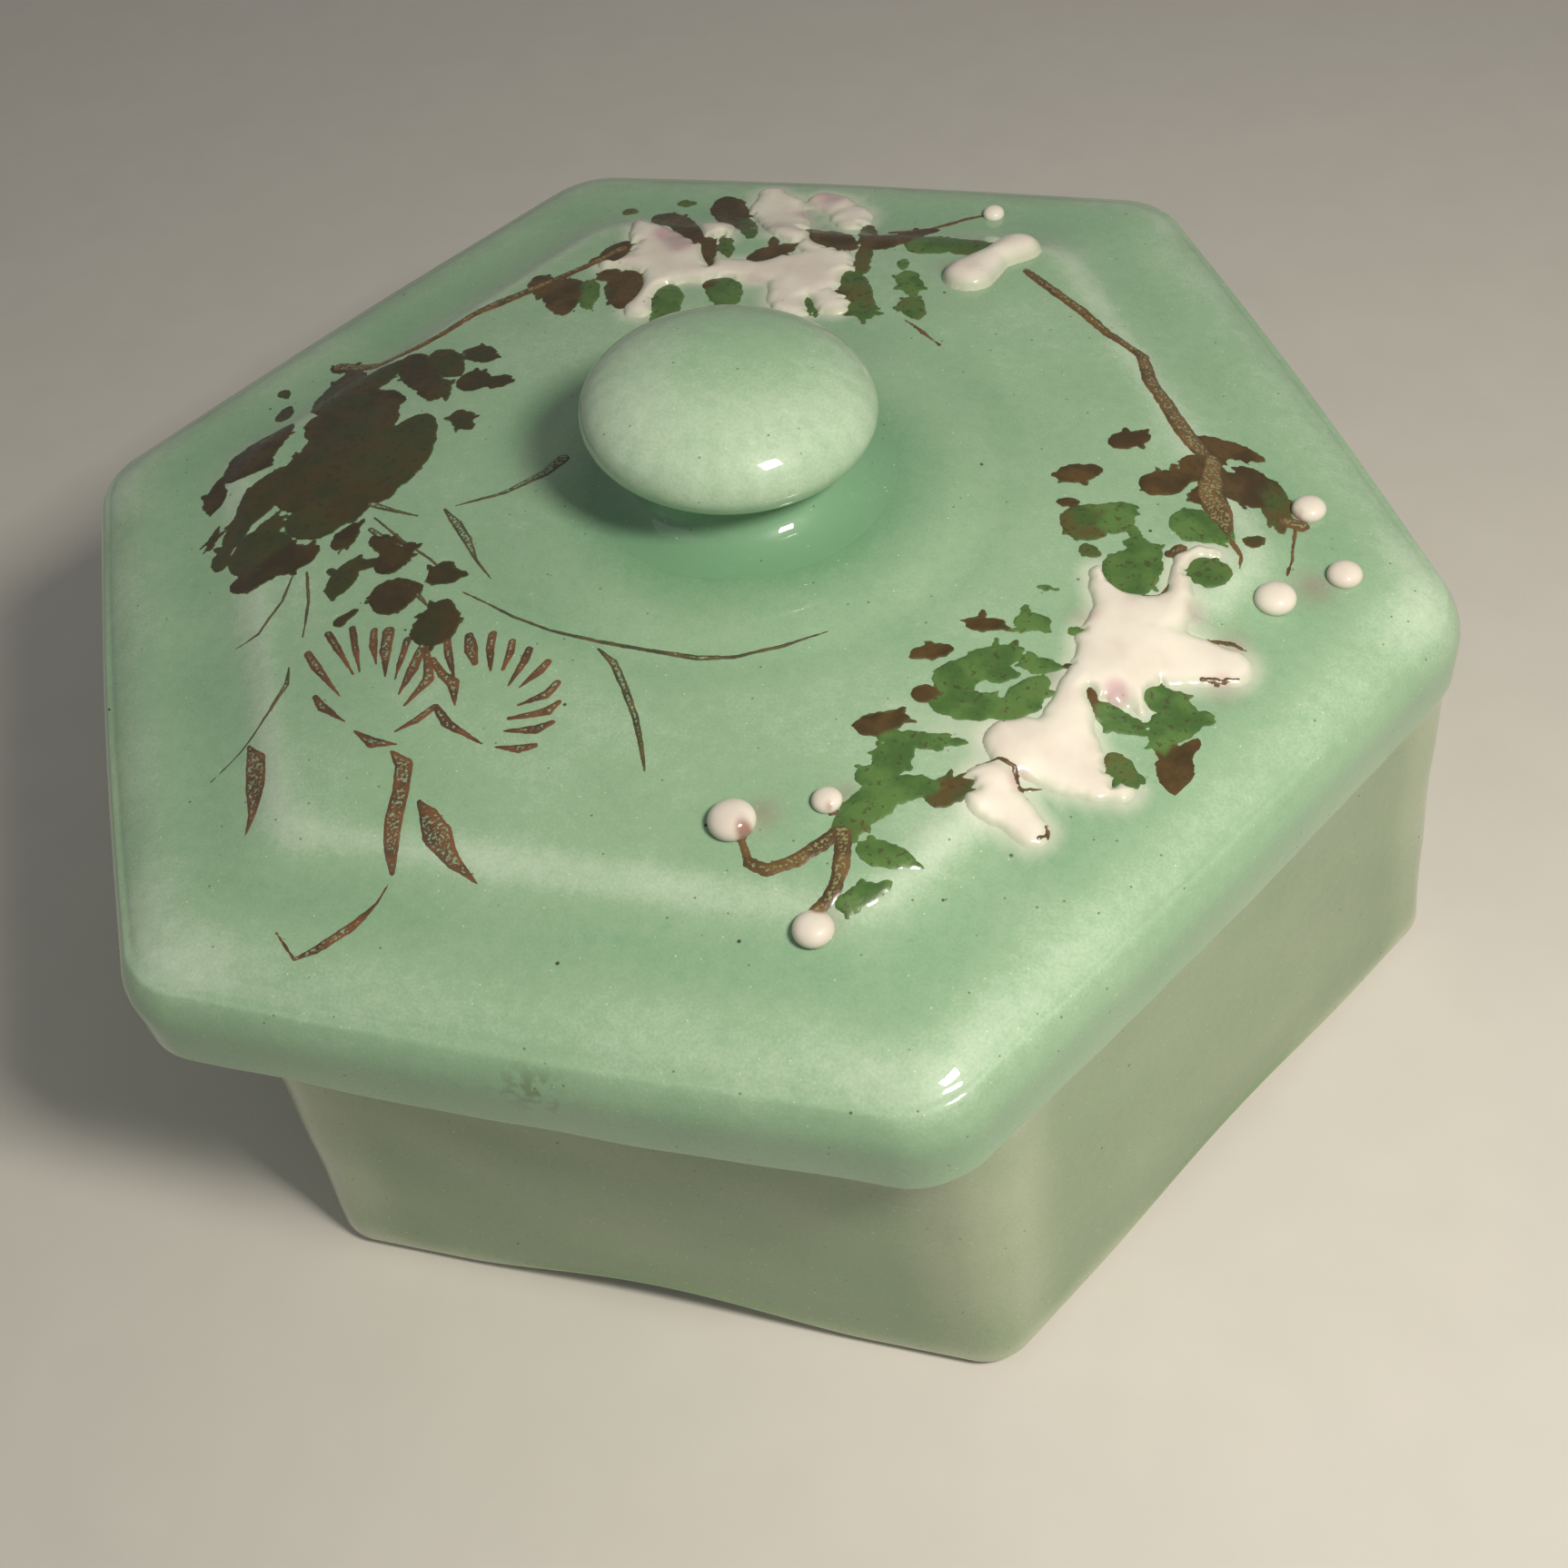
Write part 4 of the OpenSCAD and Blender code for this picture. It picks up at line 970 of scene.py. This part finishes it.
# %% [markdown]
# ## Branches and brushwork
# Branches, stems and the two fan-shaped flowers were drawn with a fine brush in a rusty brown. The colour was
# thin, so it beaded into a mottle with a darker outline, and the ground shows through. A stroke is a limb again:
# a path with a width at each station.

# %% Strokes: stations of x, y and half width
branch_strokes = [
    [(17.1, 28.5, 0.35), (19.6, 26.3, 0.42), (22.0, 24.2, 0.42), (24.4, 21.8, 0.4), (27.2, 20.2, 0.5)],
    [(27.2, 20.2, 0.5), (28.2, 17.0, 0.6), (29.6, 14.8, 0.65), (31.0, 12.2, 0.75), (32.6, 10.0, 0.8)],
    [(33.6, 9.4, 0.6), (33.9, 5.2, 1.0), (34.8, 3.0, 0.9), (35.6, 1.0, 0.25), (36.6, -0.6, 0.12),
     (36.6, -1.6, 0.1)],
    [(39.7, 3.6, 0.12), (39.8, 0.6, 0.1), (39.6, -1.0, 0.08)],
    [(-35.4, 13.2, 0.6), (-31.6, 12.9, 0.5), (-29.0, 14.6, 0.4), (-27.2, 16.6, 0.35), (-25.6, 19.2, 0.4),
     (-24.0, 20.7, 0.55),
     (-20.6, 23.6, 0.4), (-17.6, 26.4, 0.35), (-16.0, 28.4, 0.5)],
    [(10.6, -29.4, 0.2), (11.4, -30.8, 0.35), (12.6, -31.1, 0.45), (14.2, -30.2, 0.5), (15.6, -28.6, 0.5),
     (16.2, -27.6, 0.4)],
    [(16.5, -27.8, 0.6), (16.9, -30.0, 0.5), (16.9, -31.8, 0.45), (16.4, -32.9, 0.4), (15.6, -33.6, 0.3)],
    [(9.4, 20.6, 0.1), (11.0, 19.2, 0.16), (12.6, 17.8, 0.1)],
    [(5.0, 34.2, 0.3), (8.0, 35.4, 0.3), (10.4, 37.4, 0.25), (11.8, 38.2, 0.2)],
    [(32.1, -1.5, 0.35), (32.7, -0.8, 0.45)],
    [(10.7, -28.2, 0.28), (10.5, -29.2, 0.3)],
    [(15.3, -25.2, 0.25), (15.5, -26.4, 0.35)],
    [(38.9, 4.4, 0.5), (40.0, 4.2, 0.6)],
    [(23.2, -21.2, 0.1), (24.4, -20.6, 0.13), (25.4, -20.9, 0.13), (26.0, -22.1, 0.16), (27.2, -21.6, 0.08)],
    [(31.0, -5.6, 0.1), (32.0, -5.2, 0.12), (32.4, -4.2, 0.08)],
    [(35.4, -11.0, 0.12), (36.6, -10.9, 0.16), (37.6, -10.5, 0.08)],
    [(35.4, -7.7, 0.15), (37.0, -7.6, 0.2), (37.8, -7.9, 0.12)],
    [(27.9, -24.2, 0.08), (28.1, -24.8, 0.12), (27.6, -25.3, 0.08)],
]
fan_strokes = [
    [(-23.1, -18.7, 0.30), (-22.0, -19.8, 0.34), (-19.1, -22.2, 0.06)],
    [(-22.4, -16.8, 0.28), (-21.2, -18.0, 0.27), (-19.0, -20.2, 0.06)],
    [(-20.8, -16.2, 0.26), (-19.9, -17.8, 0.26), (-18.6, -20.0, 0.06)],
    [(-19.1, -16.3, 0.28), (-18.6, -17.6, 0.3), (-17.7, -19.2, 0.06)],
    [(-18.0, -16.3, 0.45), (-17.5, -18.0, 0.42), (-16.6, -20.2, 0.07)],
    [(-16.3, -16.9, 0.28), (-16.1, -18.4, 0.25), (-15.8, -20.4, 0.06)],
    [(-15.0, -17.4, 0.3), (-14.9, -19.4, 0.42), (-15.0, -21.6, 0.08)],
    [(-14.6, -17.6, 0.2), (-13.4, -20.2, 0.4), (-14.2, -22.5, 0.1)],
    [(-13.4, -16.8, 0.28), (-12.7, -18.2, 0.3), (-11.7, -19.8, 0.08)],
    [(-13.8, -18.5, 0.25), (-12.6, -19.7, 0.3), (-11.6, -20.3, 0.45), (-10.8, -22.1, 0.08)],
    [(-12.0, -16.2, 0.3), (-11.4, -17.4, 0.5), (-10.7, -18.5, 0.22)],
    [(-10.4, -15.9, 0.3), (-10.1, -17.2, 0.32), (-9.4, -19.0, 0.1)],
    [(-8.8, -16.4, 0.26), (-8.6, -17.4, 0.3), (-8.6, -18.8, 0.12)],
    [(-7.4, -16.9, 0.26), (-7.4, -18.0, 0.32), (-7.8, -20.1, 0.06)],
    [(-5.8, -17.8, 0.28), (-6.1, -18.6, 0.34), (-7.0, -20.1, 0.06)],
    [(-4.6, -19.4, 0.28), (-5.0, -20.4, 0.34), (-6.6, -21.5, 0.06)],
    [(-4.0, -20.9, 0.2), (-4.5, -21.7, 0.34), (-6.8, -22.6, 0.16)],
    [(-3.9, -22.5, 0.2), (-4.8, -23.2, 0.36), (-6.8, -23.6, 0.08)],
    [(-4.4, -24.4, 0.2), (-5.4, -24.8, 0.34), (-7.0, -24.9, 0.06)],
    [(-20.9, -22.4, 0.22), (-20.0, -23.2, 0.34), (-17.8, -24.3, 0.05)],
    [(-16.8, -25.0, 0.1), (-15.2, -25.8, 0.42), (-13.5, -25.7, 0.08)],
    [(-12.1, -22.4, 0.25), (-12.9, -23.6, 0.3), (-14.0, -24.7, 0.06)],
    [(-12.0, -22.4, 0.25), (-10.8, -23.6, 0.36), (-7.9, -24.8, 0.06)],
    [(-13.6, -26.3, 0.12), (-12.4, -27.2, 0.6), (-11.9, -29.0, 0.55), (-11.6, -31.0, 0.6),
     (-11.1, -33.0, 0.5), (-10.6, -34.5, 0.22)],
    [(-10.6, -35.2, 0.06), (-10.9, -36.6, 0.14), (-11.8, -38.4, 0.36), (-13.4, -40.3, 0.36),
     (-14.6, -41.1, 0.22), (-16.4, -39.6, 0.08)],
    [(-10.4, -29.7, 0.15), (-9.4, -30.6, 0.62), (-8.4, -31.8, 0.95), (-7.0, -33.2, 0.5), (-4.9, -34.4, 0.06)],
    [(-24.4, -26.3, 0.15), (-23.2, -27.6, 0.75), (-22.3, -29.6, 0.72), (-21.6, -31.6, 0.3), (-21.4, -33.2, 0.06)],
]
tendril_strokes = [
    [(-14.0, -12.3, 0.07), (-11.6, -13.3, 0.09), (-9.6, -14.2, 0.1), (-6.6, -15.1, 0.11), (-3.0, -15.6, 0.15),
     (0.4, -15.9, 0.13),
     (4.0, -16.1, 0.2), (6.4, -15.7, 0.13), (9.2, -14.4, 0.14), (11.8, -12.6, 0.05)],
    [(-2.8, -16.2, 0.1), (-1.4, -17.2, 0.28), (0.0, -19.2, 0.26), (1.4, -21.4, 0.22), (2.4, -23.4, 0.18),
     (3.2, -25.3, 0.06)],
    [(-11.2, 1.0, 0.5), (-12.0, -0.6, 0.4), (-14.4, -2.4, 0.2), (-17.8, -4.0, 0.06)],
    [(-18.5, -4.4, 0.1), (-17.0, -5.8, 0.36), (-15.6, -7.3, 0.34), (-14.2, -9.2, 0.12), (-12.4, -10.9, 0.05)],
    [(-27.6, -11.4, 0.08), (-27.3, -14.0, 0.12), (-27.8, -17.0, 0.11), (-29.4, -18.0, 0.1)],
    [(-26.6, -11.2, 0.12), (-25.2, -14.0, 0.13), (-24.2, -17.2, 0.06)],
    [(-24.0, -20.0, 0.08), (-23.5, -21.4, 0.2), (-23.8, -23.6, 0.13), (-24.8, -26.6, 0.1), (-26.0, -29.2, 0.08)],
    [(-24.6, -4.2, 0.3), (-22.4, -4.8, 0.18), (-20.3, -5.2, 0.06)],
    [(-23.6, -5.6, 0.08), (-20.4, -7.8, 0.12), (-17.6, -9.4, 0.1), (-16.6, -10.2, 0.08)],
    [(-23.4, -6.8, 0.2), (-21.8, -7.8, 0.3), (-19.4, -8.6, 0.2)],
    [(-18.2, -12.0, 0.3), (-17.0, -13.0, 0.2), (-15.9, -13.9, 0.06)],
]


def stroke_depth(paths, ragged):
    """A depth function for a set of strokes."""
    def depth(x, y):
        best = np.max([limb_depth(x, y, path) for path in paths], axis=0)
        return best + ragged * rough_edge(x, y, 0.35, 21)
    return depth


barks = relief("bark_enamel_strokes", stroke_depth(branch_strokes, 0.07), (-37, -36, 42, 40), 0.125, 0.1, 0.4,
               lies_on=slip_top)
fans = relief("fan_flower_strokes", stroke_depth(fan_strokes, 0.035), (-25.5, -42.5, -2, -15), 0.08, 0.07, 0.3)
fines = relief("tendril_strokes", stroke_depth(tendril_strokes, 0.03), (-31, -30, 13, 3), 0.08, 0.06, 0.25)
for piece, node, slot in [(barks, "branches", "bark_enamel"), (fans, "fan_flowers", "rust_enamel"),
                          (fines, "tendrils", "rust_enamel")]:
    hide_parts(node)


# %% [markdown]
# ## Slip and enamel finishes
# White slip lies under a clear glaze: bright, a little translucent, with the gloss of glass. Enamels are coloured
# glass ground fine and fired at a low heat on top of the glaze. They are duller than the glaze, pitted, and change
# tone with their thickness. The rusty brushwork is so thin that it breaks into a mottle, so the celadon colour
# shows between its grains.

# %% Slip and enamel materials
def slip_finish(name):
    material, tree, shader = new_material(name)
    where = add(tree, "ShaderNodeTexCoord").outputs["Object"]
    tint = add(tree, "ShaderNodeAttribute", attribute_name="tint").outputs["Fac"]
    depth = add(tree, "ShaderNodeAttribute", attribute_name="depth").outputs["Fac"]
    cloud = add(tree, "ShaderNodeTexNoise", {"Vector": where, "Scale": per_metre(3.5), "Detail": 3.0}).outputs["Fac"]
    white = mix(tree, ramp(tree, cloud, 0.35, 0.7), linear("#DDD7CA"), linear("#D2C8BC"))
    edge = ramp(tree, depth, 0.0, 0.45, 0.6, 0.0)
    white = mix(tree, edge, white, linear("#A9B89C"))
    blush = mix(tree, ramp(tree, cloud, 0.4, 0.6), linear("#C79AA0"), linear("#A48C90"))
    colour = mix(tree, ramp(tree, tint, 0.15, 1.0, 0.0, 0.75), white, blush)
    colour = mix(tree, specks(tree, where, 2.1, 0.04, 0.075, 0.48, 0.7), colour, linear("#6B5148"))
    stain = add(tree, "ShaderNodeAttribute", attribute_name="stain").outputs["Fac"]
    patchy = ramp(tree, cloud, 0.42, 0.6, 0.25, 1.0)
    stain = add(tree, "ShaderNodeMath", {0: stain, 1: patchy}, operation="MULTIPLY").outputs[0]
    colour = mix(tree, ramp(tree, stain, 0.12, 0.8, 0.0, 0.75), colour, linear("#7B3B20"))
    milky(shader, 0.15, (1.0, 0.8, 0.7), 0.0008)
    glassy(tree, shader, colour, (cloud, 0.4, 0.52), 1.5, (0.7, 0.06), (cloud, 0.2, 0.0004))
    return material


def leaf_finish(name, green, light_green, brown, dark_brown):
    material, tree, shader = new_material(name)
    where = add(tree, "ShaderNodeTexCoord").outputs["Object"]
    share = add(tree, "ShaderNodeAttribute", attribute_name="brown").outputs["Fac"]
    depth = add(tree, "ShaderNodeAttribute", attribute_name="depth").outputs["Fac"]
    broad = add(tree, "ShaderNodeTexNoise", {"Vector": where, "Scale": per_metre(2.2), "Detail": 3.0}).outputs["Fac"]
    grain = add(tree, "ShaderNodeTexNoise", {"Vector": where, "Scale": per_metre(0.45), "Detail": 2.0}).outputs["Fac"]
    leafy = mix(tree, ramp(tree, broad, 0.35, 0.65), linear(green), linear(light_green))
    earthy = mix(tree, ramp(tree, broad, 0.35, 0.65), linear(dark_brown), linear(brown))
    turn = add(tree, "ShaderNodeMath", {0: broad, 1: 0.9, 2: -0.45}, operation="MULTIPLY_ADD").outputs[0]
    turn = add(tree, "ShaderNodeMath", {0: turn, 1: share}, operation="ADD").outputs[0]
    colour = mix(tree, ramp(tree, turn, 0.25, 0.75), leafy, earthy)
    colour = mix(tree, ramp(tree, grain, 0.57, 0.68, 0.0, 0.6), colour, linear(dark_brown))
    colour = mix(tree, ramp(tree, depth, 0.0, 0.5, 0.35, 0.0), colour, linear("#5E7A4C"))
    glassy(tree, shader, colour, (grain, 0.3, 0.5), 1.52, (0.35, 0.12), (grain, 0.35, 0.0001))
    return material


def stroke_finish(name, dark, warm, ground, cover):
    material, tree, shader = new_material(name)
    where = add(tree, "ShaderNodeTexCoord").outputs["Object"]
    depth = add(tree, "ShaderNodeAttribute", attribute_name="depth").outputs["Fac"]
    broad = add(tree, "ShaderNodeTexNoise", {"Vector": where, "Scale": per_metre(1.6), "Detail": 2.0}).outputs["Fac"]
    grain = add(tree, "ShaderNodeTexNoise", {"Vector": where, "Scale": per_metre(0.22), "Detail": 2.0}).outputs["Fac"]
    pigment = mix(tree, ramp(tree, broad, 0.35, 0.65), linear(dark), linear(warm))
    outline = ramp(tree, depth, 0.25, 0.8, 0.32, 0.0)
    body_of_colour = add(tree, "ShaderNodeMath", {0: grain, 1: outline}, operation="ADD").outputs[0]
    covered = ramp(tree, body_of_colour, cover - 0.08, cover + 0.08, 0.12, 0.92)
    colour = mix(tree, covered, linear(ground), pigment)
    glassy(tree, shader, colour, (grain, 0.28, 0.45), 1.52, (0.4, 0.1), (grain, 0.3, 0.00008))
    return material


slip = slip_finish("white_porcelain_slip")
green_enamel = leaf_finish("copper_green_enamel", "#3F5F2C", "#55763B", "#54401F", "#3D2F16")
olive_enamel = leaf_finish("olive_brown_enamel", "#363D1F", "#434A26", "#43361C", "#332A16")
bark = stroke_finish("iron_brown_bark", "#47301A", "#6A4C2A", "#8C9064", 0.44)
rust = stroke_finish("rust_brown_brushwork", "#4A230C", "#6E3E1C", "#87A686", 0.43)
hair_line = stroke_finish("umber_fine_lines", "#39331A", "#5A4A26", "#87A686", 0.50)
for piece in slip_white:
    piece.data.materials.append(slip)
for piece in enamels:
    piece.data.materials.append(olive_enamel if piece.name.startswith("left") else green_enamel)
barks.data.materials.append(bark)
fans.data.materials.append(rust)
fines.data.materials.append(hair_line)
print("finishes:", slip.name, green_enamel.name, olive_enamel.name, bark.name, rust.name, hair_line.name)

# %% [markdown]
# ## The studio
# A plain pale floor and soft light show the glaze without distraction. One small square lamp stands to the front
# right, above, and gives the clear highlights on the knob and the near corner. A weak fill on the left keeps
# the shaded walls readable, and an even pale sky does the rest.

# %% Floor and lights
def floor_finish():
    material, tree, shader = new_material("matt_paper_sweep")
    where = add(tree, "ShaderNodeTexCoord").outputs["Object"]
    fibre = add(tree, "ShaderNodeTexNoise", {"Vector": where, "Scale": per_metre(6), "Detail": 3.0}).outputs["Fac"]
    tree.links.new(mix(tree, fibre, linear("#CBC7BF"), linear("#D2CEC6")), shader.inputs["Base Color"])
    shader.inputs["Roughness"].default_value = 0.85
    return material


FLOOR_HALF = 900
floor = mesh_object("floor_sweep", [(-FLOOR_HALF, -FLOOR_HALF, 0), (FLOOR_HALF, -FLOOR_HALF, 0),
                                    (FLOOR_HALF, FLOOR_HALF, 0), (-FLOOR_HALF, FLOOR_HALF, 0)], [(0, 1, 2, 3)])
floor.data.materials.append(floor_finish())


def lamp(name, place, aim, size, power, colour):
    """A square soft light at a place in mm, aimed at a point."""
    data = bpy.data.lights.new(name, "AREA")
    data.shape = "SQUARE"
    data.size = size * MM
    data.energy = power
    data.color = linear(colour)[:3]
    obj = bpy.data.objects.new(name, data)
    bpy.context.scene.collection.objects.link(obj)
    back = np.array(place, float) - np.array(aim, float)
    back = back / np.linalg.norm(back)
    side = np.cross((0, 0, 1), back)
    side = side / np.linalg.norm(side)
    over = np.cross(back, side)
    turn = Matrix(np.stack([side, over, back], axis=1).tolist()).to_4x4()
    obj.matrix_world = Matrix.Translation([v * MM for v in place]) @ turn
    return obj


lamp("key", (115, -71, 175), (4, -4, 36), 36, 0.38, "#FFF8EC")
lamp("fill", (-350, -220, 260), (0, 0, 20), 320, 0.16, "#F2F4F4")
world = bpy.data.worlds.new("pale_room")
bpy.context.scene.world = world
world.use_nodes = True
world.node_tree.nodes["Background"].inputs["Color"].default_value = linear("#E6E6E2")
world.node_tree.nodes["Background"].inputs["Strength"].default_value = 0.25
bpy.context.scene.view_settings.view_transform = "Standard"
